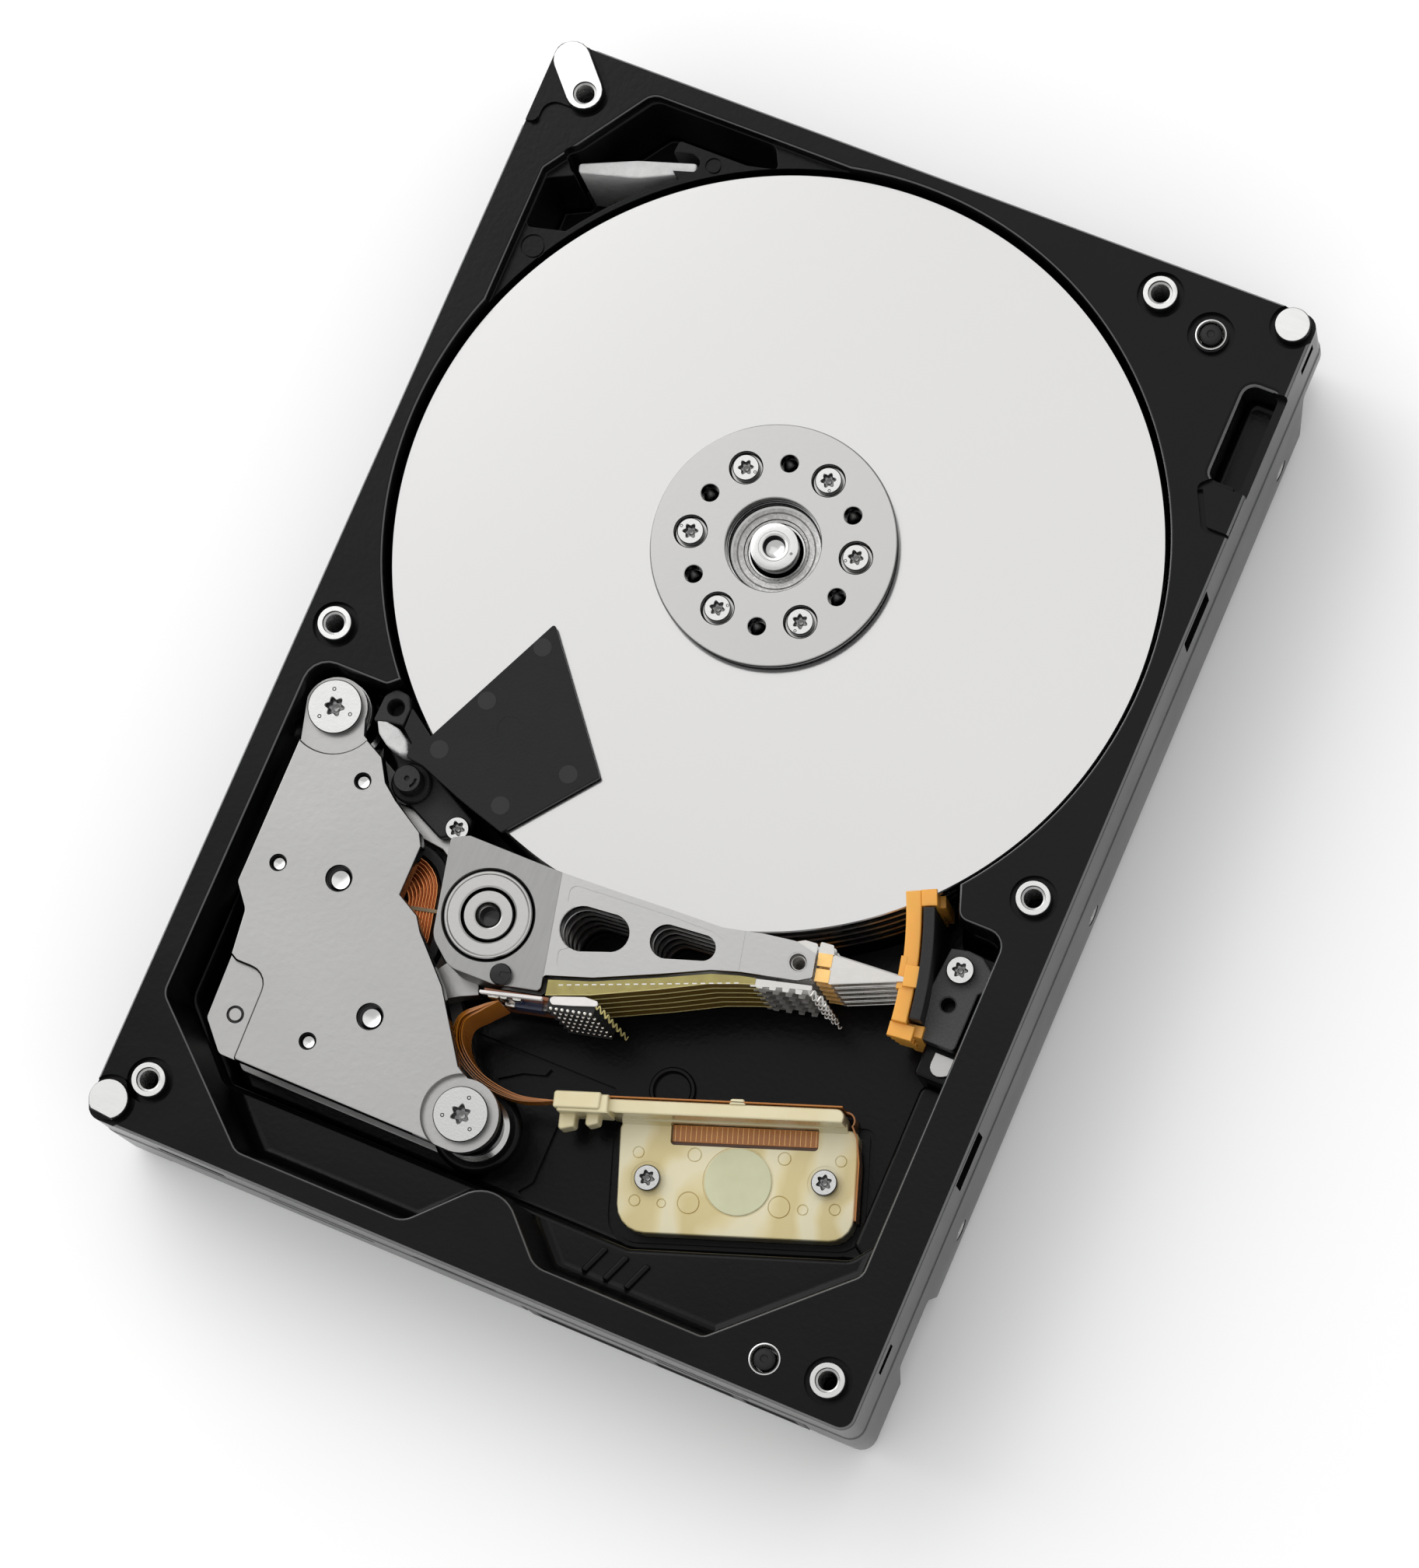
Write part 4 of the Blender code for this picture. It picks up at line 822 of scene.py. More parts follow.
def coil_loop(grow):
    """Corners of the coil's rounded trapezium, grown outwards by a distance."""
    inner, outer = 6.0 + grow, 12.0 + grow
    radius = 2.6 + max(grow, -1.8)
    return [(-8.1 + grow, -inner, radius + 2.0), (-8.1 + grow, inner, radius + 2.0),
        (-25.0 - grow, outer, radius), (-25.0 - grow, -outer, radius)]


shaped(arm_block, on_arm([slab(fork, 13.6, 16.4, 0.15)]), "UNION")
shaped(arm_block, on_arm([slab(low_fork, 13.6, 16.4, 0.15)]), "UNION")
shaped(arm_block, on_arm([slab(coil_loop(1.7), 12.4, 17.6)]))
finished(arm_block, milled_block, "actuator", 25)
dressed(arm_block, milled_arm, lambda x, y, z, n: n.z > 0.7 and z < 23.42)
# Painted shade: the arms' side walls, below the arm face, are made near black.
dressed(arm_block, dark_metal_and_painted_shade, lambda x, y, z, n: abs(n.z) < 0.5 and z < arm_face and (x - PIVOT[0]) > 9.3)
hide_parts("e_block")

sleeve = raw("sleeve", on_arm([turned([(3.35, 7.0), (5.4, 7.0), (5.4, 23.55), (5.28, 23.7), (5.1, 23.7),
    (5.02, 23.55), (4.9, 23.7), (3.6, 23.7), (3.4, 23.5), (3.35, 23.3)], (0, 0), 96)]))
finished(sleeve, clamp_metal, "actuator", 20)
# Painted shade: the sleeve's walls are made near black.
dressed(sleeve, dark_metal_and_painted_shade, lambda x, y, z, n: n.z < 0.4)
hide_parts("bearing_sleeve")

# Winding: a solid core with the turns of the top and bottom layers laid over it
winding = raw("winding", on_arm([slab(coil_loop(-0.1), 13.75, 16.25)]))
shaped(winding, on_arm([slab(coil_loop(-3.55), 0.0, CLEAR)]))
turns = [tube([(x, y, z) for x, y in grown(coil_loop(-0.2 - 0.4 * k))], 0.19, 6, True) for k in range(9)
    for z in (13.75, 16.3)]
finished(winding, winding_copper, "actuator")
made_of("winding_turns", on_arm(turns), winding_copper, "actuator", 80, False)
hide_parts("voice_coil")
former = raw("former", on_arm([slab(coil_loop(1.4), 13.8, 16.1, 0.2)]))
shaped(former, on_arm([slab(coil_loop(0.3), 0.0, CLEAR)]))
finished(former, black_plastic, "actuator")
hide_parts("coil_former")
cream_tie = finish("cream_tie", (0.55, 0.42, 0.26), (0.45, 0.33, 0.2), 0.5, scale=900.0)
made_of("winding_tie", on_arm([block(-12.2, -7.7, 0.35, 0.8, 16.4, 16.62, 0.05)]), cream_tie, "actuator")

# Preamplifier board on the side of the block, with its parts and the head leads
board = raw("head_board", on_arm([block(1.0, 9.6, -9.1, -8.65, 9.0, 22.5, 0.05)]))
finished(board, amber_board, "actuator")
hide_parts("preamp_board")
strip = slab([(0.6, -9.45, 0.1), (8.2, -9.2, 0.1), (8.4, -8.8, 0.1), (0.6, -9.1, 0.1)], 22.3, 23.3, 0.05)
made_of("board_edge", on_arm([strip]), white_strip, "actuator")
blobs = [((2.0, 20.2), (0.75, 1.4)), ((3.3, 20.6), (0.5, 1.2)), ((5.0, 21.3), (0.6, 0.7)),
    ((3.3, 15.4), (0.9, 0.8)), ((4.4, 16.4), (0.4, 0.6)), ((7.7, 16.2), (0.7, 1.0)),
    ((6.2, 14.6), (0.4, 0.4))]
beads = []
for (x, z), (wide, tall) in blobs:
    corners = [(x - wide, -tall, 0.3), (x + wide, -tall, 0.3), (x + wide, tall, 0.3), (x - wide, tall, 0.3)]
    points, faces = slab(corners, 0.0, 0.55, 0.25)
    beads.append(([(a, -9.05 - c, z + b) for a, b, c in points], faces))
made_of("board_joints", on_arm(beads), solder, "actuator")
made_of("board_chip", on_arm([block(4.4, 7.9, -10.0, -9.0, 16.9, 19.6, 0.12)]), blue_chip, "actuator")

# Head leads: one flat strip beside each arm, ending in a comb of soldered pads
lead_edge = [(8.6, -6.6), (14.0, -6.0), (22.0, -4.3), (28.0, -2.9), (31.5, -2.6), (33.5, -2.6)]
leads, pads_row, dashes, tails, gilt, tabs = [], [], [], [], [], []
for i, p in enumerate(ARM_PLANES):
    outer = [(x, y - 1.9 * (1.0 - 0.12 * k)) for k, (x, y) in enumerate(lead_edge)]
    leads.append(slab(lead_edge + outer[::-1], p - 0.15, p + 0.2, 0.06))
    gilt.append(tube([(x, y, p + 0.16) for x, y in outer], 0.07))
    tabs.append(slab([(9.0, -8.7), (15.0, -8.2), (14.6, -10.3), (9.0, -10.3)], p - 0.55, p - 0.3))
    pads_row += [turned([(0, p - 0.35), (0.2, p - 0.3), (0.26, p - 0.1), (0.14, p + 0.02), (0, p + 0.05)],
        (9.5 + 0.7 * k, -9.95), 10) for k in range(8)]
    gilt.append(tube([(14.6 + 0.08 * k, -8.6 - 0.055 * k + 0.35 * math.sin(k * 0.8), p - 0.1)
        for k in range(26)], 0.09))
    tails.append(slab([(32.4, -2.7), (36.5, -2.6), (40.3, -2.5), (40.4, -3.1, 0.2), (36.4, -3.3),
        (33.0, -3.7)], p - 0.1, p + 0.1))
    tails += [slab([(x, -3.2), (x + 0.9, -3.2), (x + 0.8, -3.75), (x + 0.1, -3.75)], p - 0.08, p + 0.08)
        for x in (33.6, 35.2, 36.8, 38.4)]
    wave = [(39.6 + 0.11 * k, -2.9 - 0.06 * k + 0.45 * math.sin(k * 0.75), p - 0.05) for k in range(26)]
    tails.append(tube(wave, 0.14, 6))
top_lead = ARM_PLANES[0] + 0.2
for k in range(22):
    x = 10.0 + k * 1.0
    y = -7.15 + (x - 10.0) * 0.165
    dashes.append(slab([(x, y), (x + 0.55, y + 0.09), (x + 0.53, y + 0.23), (x - 0.02, y + 0.14)],
        top_lead - 0.05, top_lead + 0.03))
dashes.append(slab([(9.0, -8.9, 0.4), (9.6, -8.5), (13.4, -8.0, 0.4), (15.0, -8.3, 0.3), (15.2, -8.9, 0.3),
    (12.0, -9.3), (9.6, -9.5, 0.4)], ARM_PLANES[0] - 0.2, ARM_PLANES[0] + 0.1, 0.08))
made_of("top_leads", on_arm(leads[:1]), olive_film, "actuator")
# The lower leads get the darker copy of the film: painted shade under the discs.
made_of("lower_leads", on_arm(leads[1:]), lead_film_painted_shade, "actuator")
made_of("lead_edges", on_arm(gilt), lead_gilt, "actuator", 60)
made_of("lead_tabs", on_arm(tabs), black_plastic, "actuator")
made_of("lead_marks", on_arm(dashes), white_strip, "actuator")
made_of("lead_pads", on_arm(pads_row), solder, "actuator", 60)
made_of("lead_tails", on_arm(tails), spring_steel, "actuator")

# Head suspensions: a base plate, a load beam with folded edges, gold tabs and the slider
plates = []
for i, p in enumerate(ARM_PLANES):
    solids, tabs = [], []
    for side in ([-1] if i == 0 else [1] if i == 5 else [-1, 1]):
        near, far = sorted((p + side * 0.32, p + side * 0.46))
        plates.append(slab([(36.0, -1.9, 0.3), (40.1, -1.8), (40.1, 2.7, 0.3), (38.5, 2.9), (36.0, 2.1, 0.3)],
            near, far))
        solids.append(stack([(rounded([(42.0, -2.0, 0.3), (50.4, -0.35, 0.2), (51.8, -0.18, 0.1),
            (51.8, 0.18, 0.1), (50.4, 0.35, 0.2), (42.0, 1.7, 0.3)]), z) for z in (near, far)]))
        solids += [tube([(42.6, sign * 1.75 - 0.12, far), (50.2, sign * 0.4, far)], 0.08) for sign in (-1, 1)]
        solids.append(block(47.0, 48.2, -0.4, 0.4, *sorted((p + side * 0.41, p + side * 0.75))))
        solids.append(slab([(40.3, 1.6), (40.4, 3.0, 0.2), (42.0, 2.8, 0.2), (42.3, 1.5)], near, far))
        tabs += [block(40.35, 42.15, low, low + 1.6, near - 0.02, far + 0.12, 0.05) for low in (-1.85, 0.05)]
    heads = raw(f"heads_{i + 1}", on_arm(solids))
    finished(heads, spring_steel, "actuator")
    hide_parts(f"head_suspension_{i + 1}")
    made_of(f"head_tabs_{i + 1}", on_arm(tabs), gold, "actuator")
head_plates = raw("head_plates", on_arm(plates))
shaped(head_plates, on_arm([slab(circle(TIP_HOLE, 0.8, 28), 0.0, CLEAR)]))
finished(head_plates, spring_steel, "actuator")

pin = raw("stub_pin", on_arm([turned([(0, 21.0), (0.6, 21.0), (0.6, 23.8), (1.35, 23.8), (1.35, 24.2),
    (1.2, 24.38), (0, 24.4)], (3.0, -7.0), 32)]))
shaped(pin, on_arm([block(2.9, 5.0, -7.2, -6.7, 24.2, 26.0)]))
finished(pin, dark_metal_and_painted_shade, "actuator")
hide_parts("flex_pin")

# ==== Voice-coil motor ====
# Two nickel-plated steel yokes hold the magnets above and below the coil. Steel
# posts keep them apart, two large screws hold the stack, and the lower yoke
# reaches round under the pivot.
nickel = finish("nickel", (0.40, 0.395, 0.39), (0.33, 0.327, 0.32), 0.36, 1.0, scale=60.0, fine=1300.0,
    spread=0.12, bump=0.07)
magnet_plate = finish("magnet_plate", (0.40, 0.40, 0.41), (0.30, 0.30, 0.31), 0.30, 1.0, scale=150.0,
    bump=0.06)
VCM_SCREWS = ((-42.8, -15.3), (-8.0, -55.4))
SMALL_DIMPLES = ((-35.8, -22.5), (-41.4, -35.6), (-29.0, -54.3))
RIVET = (-38.8, -54.6)
LARGE_DIMPLES = ((-33.6, -34.6), (-23.1, -48.7))
upper_ear, lower_ear = VCM_SCREWS
yoke = (arc(upper_ear, 3.9, 0, 180, 18) + rounded([(-45.3, -20.4), (-45.2, -39.6, 1.0), (-42.9, -42.4, 1.5),
    (-42.2, -48.0), (-41.9, -56.2, 1.0), (-38.7, -59.7, 1.0), (-12.5, -59.8)])
    + arc(lower_ear, 4.5, -95, 105, 24) + rounded([(-10.6, -50.2), (-16.4, -42.0), (-21.6, -36.9),
    (-22.8, -35.2), (-25.8, -33.6), (-25.8, -27.2), (-26.7, -25.7), (-31.0, -23.2), (-33.1, -21.6),
    (-34.8, -18.9), (-38.2, -17.2)]))
top_yoke = raw("top_yoke", [slab(yoke, 20.12, 22.6, 0.22, 0.1)])
shaped(top_yoke, [stack([(circle(c, r, 72), 21.8), (circle(c, r, 72), 22.4), (circle(c, r + 0.2, 72), 22.62),
    (circle(c, r + 0.2, 72), CLEAR)]) for c, r in zip(VCM_SCREWS, (5.8, 4.8))])
corner_step = [(-47.0, -48.0), (-42.4, -48.0), (-41.3, -48.6, 1.0), (-37.0, -48.6, 2.2), (-36.7, -59.6, 0.6),
    (-35.9, -60.2), (-35.9, -63.0), (-47.0, -63.0)]
shaped(top_yoke, [stack([(grown(corner_step), 21.9), (grown(corner_step), 22.3),
    (grown(corner_step, 0.25), 22.62), (grown(corner_step, 0.25), CLEAR)])])
shaped(top_yoke, [turned([(0.75, 21.6), (1.1, 21.6), (1.1, 24.0), (0.75, 24.0)], RIVET, 40)])
for places, radius, depth in ((LARGE_DIMPLES, 1.6, 1.2), (SMALL_DIMPLES, 1.0, 0.9)):
    shaped(top_yoke, [turned([(0, 22.6 - depth), (radius * 0.35, 22.62 - depth),
        (radius * 0.7, 22.72 - depth), (radius * 0.92, 23.0 - depth), (radius, 22.45), (radius + 0.1, 22.6),
        (radius + 0.1, CLEAR), (0, CLEAR)], c, 48) for c in places])
shaped(top_yoke, [slab(circle(c, 1.9, 40), 0.0, CLEAR) for c in VCM_SCREWS])
finished(top_yoke, nickel, "base", 25)
# Painted shade: the yoke's steep walls near its top, away from the screws, and the floor round the rivet are
# made near black.
dressed(top_yoke, dark_metal_and_painted_shade, lambda x, y, z, n: -0.1 < n.z < 0.8 and z > 20.6
    and all(math.dist((x, y), c) > 6.5 for c in VCM_SCREWS))
dressed(top_yoke, dark_metal_and_painted_shade, lambda x, y, z, n: z < 21.75 and math.dist((x, y), RIVET) < 1.2)
dressed(top_yoke, turned_steel, lambda x, y, z, n: 0.8 <= n.z and z < 22.5
    and any(math.dist((x, y), c) < 1.6 for c in LARGE_DIMPLES + SMALL_DIMPLES))
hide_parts("vcm_top_yoke")
low_yoke = raw("low_yoke", [slab(yoke, 6.3, 9.3, 0.15)])
shaped(low_yoke, [slab(circle(c, 1.9, 40), 0.0, CLEAR) for c in VCM_SCREWS])
finished(low_yoke, nickel, "base", 25)
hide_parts("vcm_bottom_yoke")
tongue = [(-33.0, -23.0), (-34.8, -21.3), (-31.8, -21.6), (-27.8, -22.0), (-26.3, -22.4), (-20.0, -24.4, 3.0),
    (-6.5, -27.0, 6.0), (-6.5, -37.0, 6.0), (-15.6, -39.8), (-16.3, -40.0), (-17.8, -40.4), (-19.3, -41.4),
    (-19.0, -44.5), (-23.0, -36.0), (-26.5, -34.0), (-26.5, -27.0)]
made_of("yoke_tongue", [slab(tongue, 6.1, 6.6, 0.08)], nickel, "base")
face = sector(PIVOT, 12.4, 25.8, 174, 254, 24)
for name, node, low, high in (("upper_magnet", "vcm_top_magnet", 17.1, 19.8),
    ("lower_magnet", "vcm_bottom_magnet", 9.6, 12.9)):
    magnet = raw(name, [slab(face, low, high, 0.25, 0.25)])
    finished(magnet, magnet_plate, "base")
    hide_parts(node)
for mark, place, turn in (("a", upper_ear, 10), ("b", lower_ear, -20)):
    post = raw(f"yoke_post_{mark}", [turned([(1.9, 9.6), (4.0, 9.6), (4.2, 9.8), (4.2, 12.4), (3.6, 12.7),
        (3.6, 16.6), (4.2, 16.9), (4.2, 19.6), (4.0, 19.8), (1.9, 19.8)], place, 72)])
    finished(post, turned_steel, "base", 25)
    # Painted shade: the post's side walls are made near black.
    dressed(post, dark_metal_and_painted_shade, lambda x, y, z, n: abs(n.z) < 0.3)
    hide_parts(f"vcm_post_{mark}")
    screw(f"yoke_screw_{mark}", f"vcm_screw_{mark}", "base", place, (6.5, 21.85, 1.6, 3.4), 22.8, 1.25, turn,
        [(turn + a, 2.2, 0.26) for a in (105, 225, 345)])

stem = raw("stem", [turned([(0, 6.35), (3.1, 6.35), (3.1, 23.3), (2.95, 23.5), (1.75, 23.5), (1.6, 23.42),
    (1.45, 22.9), (1.2, 22.6), (1.15, 20.2), (0, 20.1)], PIVOT, 72)])
finished(stem, clamp_metal, "base", 25)
# Painted shade: most of the stem's walls and the deep part of its top recess are made near black.
dressed(stem, dark_metal_and_painted_shade, lambda x, y, z, n: z < 22.55 or (n.z < 0.5 and z > 23.3))
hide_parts("pivot_shaft")

# ==== Filters and spoiler ====
# A felt lens stands in the corner pocket. A moulded spoiler plate reaches over
# the discs, and its holder has a small felt pad and one screw.
felt = finish("felt", (0.70, 0.70, 0.69), (0.48, 0.48, 0.48), 0.9, scale=900.0, fine=6000.0, spread=0.05,
    bump=0.6, Specular_IOR_Level=0.2)
moulded = finish("moulded", (0.009, 0.009, 0.0095), (0.013, 0.013, 0.0135), 0.42, scale=500.0, fine=3500.0,
    spread=0.12, bump=0.12, Specular_IOR_Level=0.16)
leaf = [(-7.4, -0.6, 0.4), (0.0, -1.3, 9.0), (7.4, -0.6, 0.4), (7.4, 0.6, 0.4), (0.0, 1.0, 9.0),
    (-7.4, 0.6, 0.4)]
filter_pad = raw("filter_pad", set_at([slab(leaf, 8.3, 21.8, 0.25)], (-35.5, 61.2), 20.7))
finished(filter_pad, felt, "base")
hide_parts("recirculation_filter")

plate = [(-30.1, -14.4), (-33.6, -12.0, 0.1), (-33.5, -14.7, 0.2), (-31.9, -16.0, 0.2), (-31.9, -17.8, 0.2),
    (-29.5, -18.1, 1.0), (-24.0, -20.1), (-17.2, -22.1, 0.3), (-8.7, -11.4, 0.3), (-21.5, 4.1, 0.3)]
spoiler = raw("spoiler", [slab(plate, 22.5, 23.3, 0.12)])
shaped(spoiler, [slab(circle((-21.3, -10.0), 1.6, 48), 23.27, CLEAR)])
finished(spoiler, moulded, "base", 25)
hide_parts("spoiler_plate")
spot_finish = finish("ejector_marks", (0.020, 0.020, 0.0205), (0.026, 0.026, 0.027), 0.5, scale=500.0,
    spread=0.12, Specular_IOR_Level=0.2)
EJECTOR_SPOTS = ((-21.7, 0.8), (-25.4, -7.8), (-28.4, -15.5), (-18.6, -19.1), (-12.4, -12.5))
spots = [slab(circle(c, 1.15, 32), 23.2, 23.33, 0.02) for c in EJECTOR_SPOTS]
made_of("ejector_spots", spots, spot_finish, "base")

bed = [(-37.6, -11.5, 0.8), (-35.4, -11.0, 0.5), (-33.4, -15.0), (-29.0, -17.9), (-22.2, -21.4, 0.6),
    (-22.0, -23.0, 0.8), (-25.2, -25.0, 0.8), (-30.4, -22.6), (-32.2, -21.3), (-34.0, -18.4),
    (-37.2, -15.6, 0.6)]
holder = raw("holder", [slab(bed, 17.4, 18.5, 0.3)])
ear = [(-37.6, -11.7, 1.0), (-36.6, -10.4, 1.0), (-34.8, -10.6, 0.8), (-33.9, -12.2, 0.6),
    (-33.9, -14.3, 0.3), (-36.0, -14.6, 0.3), (-37.7, -15.2, 0.3)]
shaped(holder, [slab(ear, 17.6, 22.6, 0.2)], "UNION")
shaped(holder, [turned([(0, 19.0), (1.0, 19.0), (1.0, 22.4), (1.15, 22.6), (1.15, CLEAR), (0, CLEAR)],
    (-35.7, -12.6), 32), slab(circle((-23.4, -23.2), 1.1, 28), 0.0, CLEAR)])
finished(holder, black_plastic, "base")
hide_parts("filter_holder")
post = raw("holder_post", [turned([(0, 18.0), (2.5, 18.0), (2.5, 19.2), (2.3, 19.4), (1.75, 19.4),
    (1.75, 21.9), (1.6, 22.1), (0.35, 22.1), (0.3, 21.7), (0, 21.7)], (-31.0, -20.1), 40)])
shaped(post, [slab(sector((-31.0, -20.1), 0.9, 1.25, -50, 20, 8), 21.6, CLEAR)])
finished(post, black_plastic, "base")
leaf = [(-2.95, 0.1, 0.15), (-1.6, -0.9, 1.2), (0.2, -1.25, 1.6), (2.2, -0.8, 1.2), (2.95, -0.1, 0.15),
    (1.6, 0.95, 1.2), (-0.2, 1.25, 1.6), (-2.0, 0.8, 1.2)]
pad = raw("felt_pad", set_at([slab(leaf, 18.6, 22.6, 0.35)], (-34.6, -16.1), -23))
finished(pad, felt, "base")
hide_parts("small_filter")
screw("spoiler_screw_head", "spoiler_screw", "base", (-23.4, -23.2), (14.0, 18.6, 0.8, 1.5), 19.4, 0.95, 8)

# ==== Load ramp ====
# A yellow acetal comb, moulded in one, takes the heads off the discs. A black
# bracket with one screw holds it on the casting's plinth.
acetal = finish("acetal", (0.86, 0.42, 0.07), (0.76, 0.33, 0.045), 0.34, scale=160.0, fine=1500.0, spread=0.1,
    bump=0.06, Subsurface_Weight=0.15, Subsurface_Scale=0.002)
dusty = finish("dusty", (0.022, 0.022, 0.022), (0.10, 0.10, 0.10), 0.6, scale=4200.0, fine=6000.0, spread=0.2,
    bump=0.3)
comb = raw("comb", [slab(sector(PIVOT, 50.5, 52.4, 7.6, 25.4, 24), 7.98, 22.36, 0.2)])
for top in DISC_TOPS[:-1]:
    mid = top - DISC_THICK / 2
    shaped(comb, [slab(sector(PIVOT, 49.0, 51.9, 4.0, 30.0, 12), mid - 2.1, mid - 1.0)])
for top in DISC_TOPS:
    mid = top - DISC_THICK / 2
    shaped(comb, [slab(circle(SPINDLE, 47.9, 240), mid - 0.75, mid + 0.75)])
finished(comb, acetal, "base", 30)
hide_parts("load_ramp")
caps = [slab(sector(PIVOT, 52.4, 54.3, 23.2, 25.4, 6), 9.0, 22.6, 0.15),
    slab(sector(PIVOT, 52.5, 55.0, 23.6, 25.2, 6), 9.0, 19.0, 0.15), slab(sector(PIVOT, 52.3, 54.4, 6.4, 8.0,
    6), 9.0, 20.5, 0.15)]
caps += [slab(sector(PIVOT, 50.3 + 0.1 * k, 53.4 - 0.1 * k, 5.6 + 0.25 * k, 7.6, 6), 20.0 - DISC_STEP * k,
    21.4 - DISC_STEP * k, 0.15) for k in range(4)]
made_of("comb_ends", caps, acetal, "base", 30)
nose = set_at([block(-0.9, 0.95, -1.3, 1.3, 22.3, 23.0, 0.1), block(-1.7, -0.9, -1.6, 2.4, 20.6, 22.4, 0.1)],
    (35.9, -19.7), 13.0)
made_of("comb_nose", nose, acetal, "base", 30)

bracket = raw("bracket", [slab(sector(PIVOT, 52.7, 54.1, 8.2, 22.9, 24), 9.0, 23.4, 0.15)])
foot = [(38.4, -14.3), (40.5, -13.8), (42.4, -13.9, 1.0), (44.1, -15.2, 0.8), (44.1, -17.9), (43.6, -18.4),
    (43.6, -25.8, 0.6), (38.4, -25.8), (37.9, -20.0)]
shaped(bracket, [slab(foot, 16.3, 19.3, 0.25)], "UNION")
shaped(bracket, [slab(circle((40.6, -16.5), 1.2, 32), 0.0, CLEAR), turned([(0, 0.0), (0.9, 0.0), (0.9, 19.1),
    (1.1, 19.3), (1.1, CLEAR), (0, CLEAR)], (40.7, -20.8), 32)])
finished(bracket, dusty, "base", 30)
dressed(bracket, black_plastic, lambda x, y, z, n: z > 20.0 or n.z < 0.5)
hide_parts("ramp_bracket")
screw("ramp_screw_head", "ramp_screw", "base", (40.6, -16.5), (12.0, 19.6, 0.8, 1.7), 20.45, 0.95, 12)
land = [(41.1, -26.3), (43.9, -26.3), (43.9, -28.4, 1.2), (41.1, -29.7, 1.2)]
made_of("milled_land", [slab(land, 16.2, 16.6, 0.08)], milled_arm, "base")

# ==== Flex bracket and cable ====
# A pearly moulding clamps the amber flex circuit to the floor with two screws.
# The free loop of the cable joins it to the turning block.
def pearl_material():
    """Mother-of-pearl plastic: pale swirls in two scales over cream."""
    made = finish("pearl", (0.84, 0.74, 0.44), (0.66, 0.55, 0.26), 0.20, scale=130.0, fine=900.0, spread=0.2,
        bump=0.06, Coat_Weight=0.6, Coat_Roughness=0.08)
    nodes, link = made.node_tree.nodes, made.node_tree.links.new
    shader, skin = nodes["Principled BSDF"], nodes["skin"]
    where = nodes.new("ShaderNodeTexCoord")
    swirl = nodes.new("ShaderNodeTexWave")
    swirl.inputs["Scale"].default_value = 42.0
    swirl.inputs["Distortion"].default_value = 7.0
    swirl.inputs["Detail"].default_value = 3.0
    swirl.inputs["Detail Scale"].default_value = 1.6
    link(where.outputs["Object"], swirl.inputs["Vector"])
    steps = nodes.new("ShaderNodeValToRGB")
    band = steps.color_ramp.elements
    band[0].position, band[0].color = 0.15, (0.66, 0.53, 0.22, 1)
    band[1].position, band[1].color = 0.85, (0.88, 0.84, 0.64, 1)
    middle = band.new(0.5)
    middle.color = (0.80, 0.70, 0.40, 1)
    link(swirl.outputs["Fac"], steps.inputs["Fac"])
    mix = nodes.new("ShaderNodeMix")
    mix.data_type = "RGBA"
    mix.inputs[0].default_value = 0.55
    link(skin.outputs["Color"], mix.inputs[6])
    link(steps.outputs["Color"], mix.inputs[7])
    link(mix.outputs[2], shader.inputs["Base Color"])
    return made


pearl = pearl_material()
cream = finish("cream", (0.84, 0.78, 0.56), (0.72, 0.62, 0.34), 0.30, scale=240.0, fine=1500.0, spread=0.1,
    bump=0.06)
amber_film = finish("amber_film", (0.52, 0.19, 0.015), (0.34, 0.10, 0.008), 0.24, scale=260.0, fine=2200.0,
    spread=0.15, bump=0.08, Coat_Weight=0.4, Coat_Roughness=0.12)
green_pearl = finish("green_pearl", (0.72, 0.73, 0.50), (0.56, 0.56, 0.34), 0.3, scale=260.0, fine=1200.0,
    spread=0.2, Coat_Weight=0.4, Coat_Roughness=0.1)
brown_edge = finish("brown_edge", (0.10, 0.035, 0.008), (0.05, 0.018, 0.005), 0.3, scale=400.0, spread=0.2)
BED = (24.0, -49.3)
BED_TURN = 19.5
BED_SCREWS = ((-11.0, 0.0), (10.6, 0.4))


def on_bed(solids):
    return set_at(solids, BED, BED_TURN)


floor_plate = [(-14.9, 7.0, 1.0), (-14.6, -6.6, 3.5), (14.4, -6.6, 3.0), (14.4, 7.0, 1.0)]
bed_plate = raw("bed_plate", on_bed([slab(floor_plate, 6.3, 9.8, 0.3)]))
wall = [(-16.0, 8.9, 0.3), (-16.0, 7.4), (-14.8, 7.2), (12.8, 7.2), (13.6, 8.9, 1.0)]
shaped(bed_plate, on_bed([slab(wall, 6.3, 14.6, 0.25)]), "UNION")
shaped(bed_plate, on_bed([across([(6.4, 9.0), (6.6, 9.9), (7.0, 10.3), (7.6, 11.0), (7.6, 9.0)], -14.6,
    13.0)]), "UNION")
shaped(bed_plate, on_bed([slab([(-21.9, 9.2, 0.4), (-21.9, 6.9, 0.3), (-15.6, 6.9), (-15.6, 9.2)], 10.0, 15.8,
    0.3)]), "UNION")
opening = [(-8.6, 4.3, 0.5), (9.5, 4.3, 0.5), (9.5, 7.0, 0.2), (-8.6, 7.0, 0.2)]
shaped(bed_plate, on_bed([slab(opening, 8.4, CLEAR)]))
shaped(bed_plate, on_bed([slab(circle(c, 1.2, 32), 0.0, CLEAR) for c in BED_SCREWS]))
rims = [turned([(4.15, 9.66), (4.35, 9.66), (4.35, CLEAR), (4.15, CLEAR)], (0, 0.1), 64)]
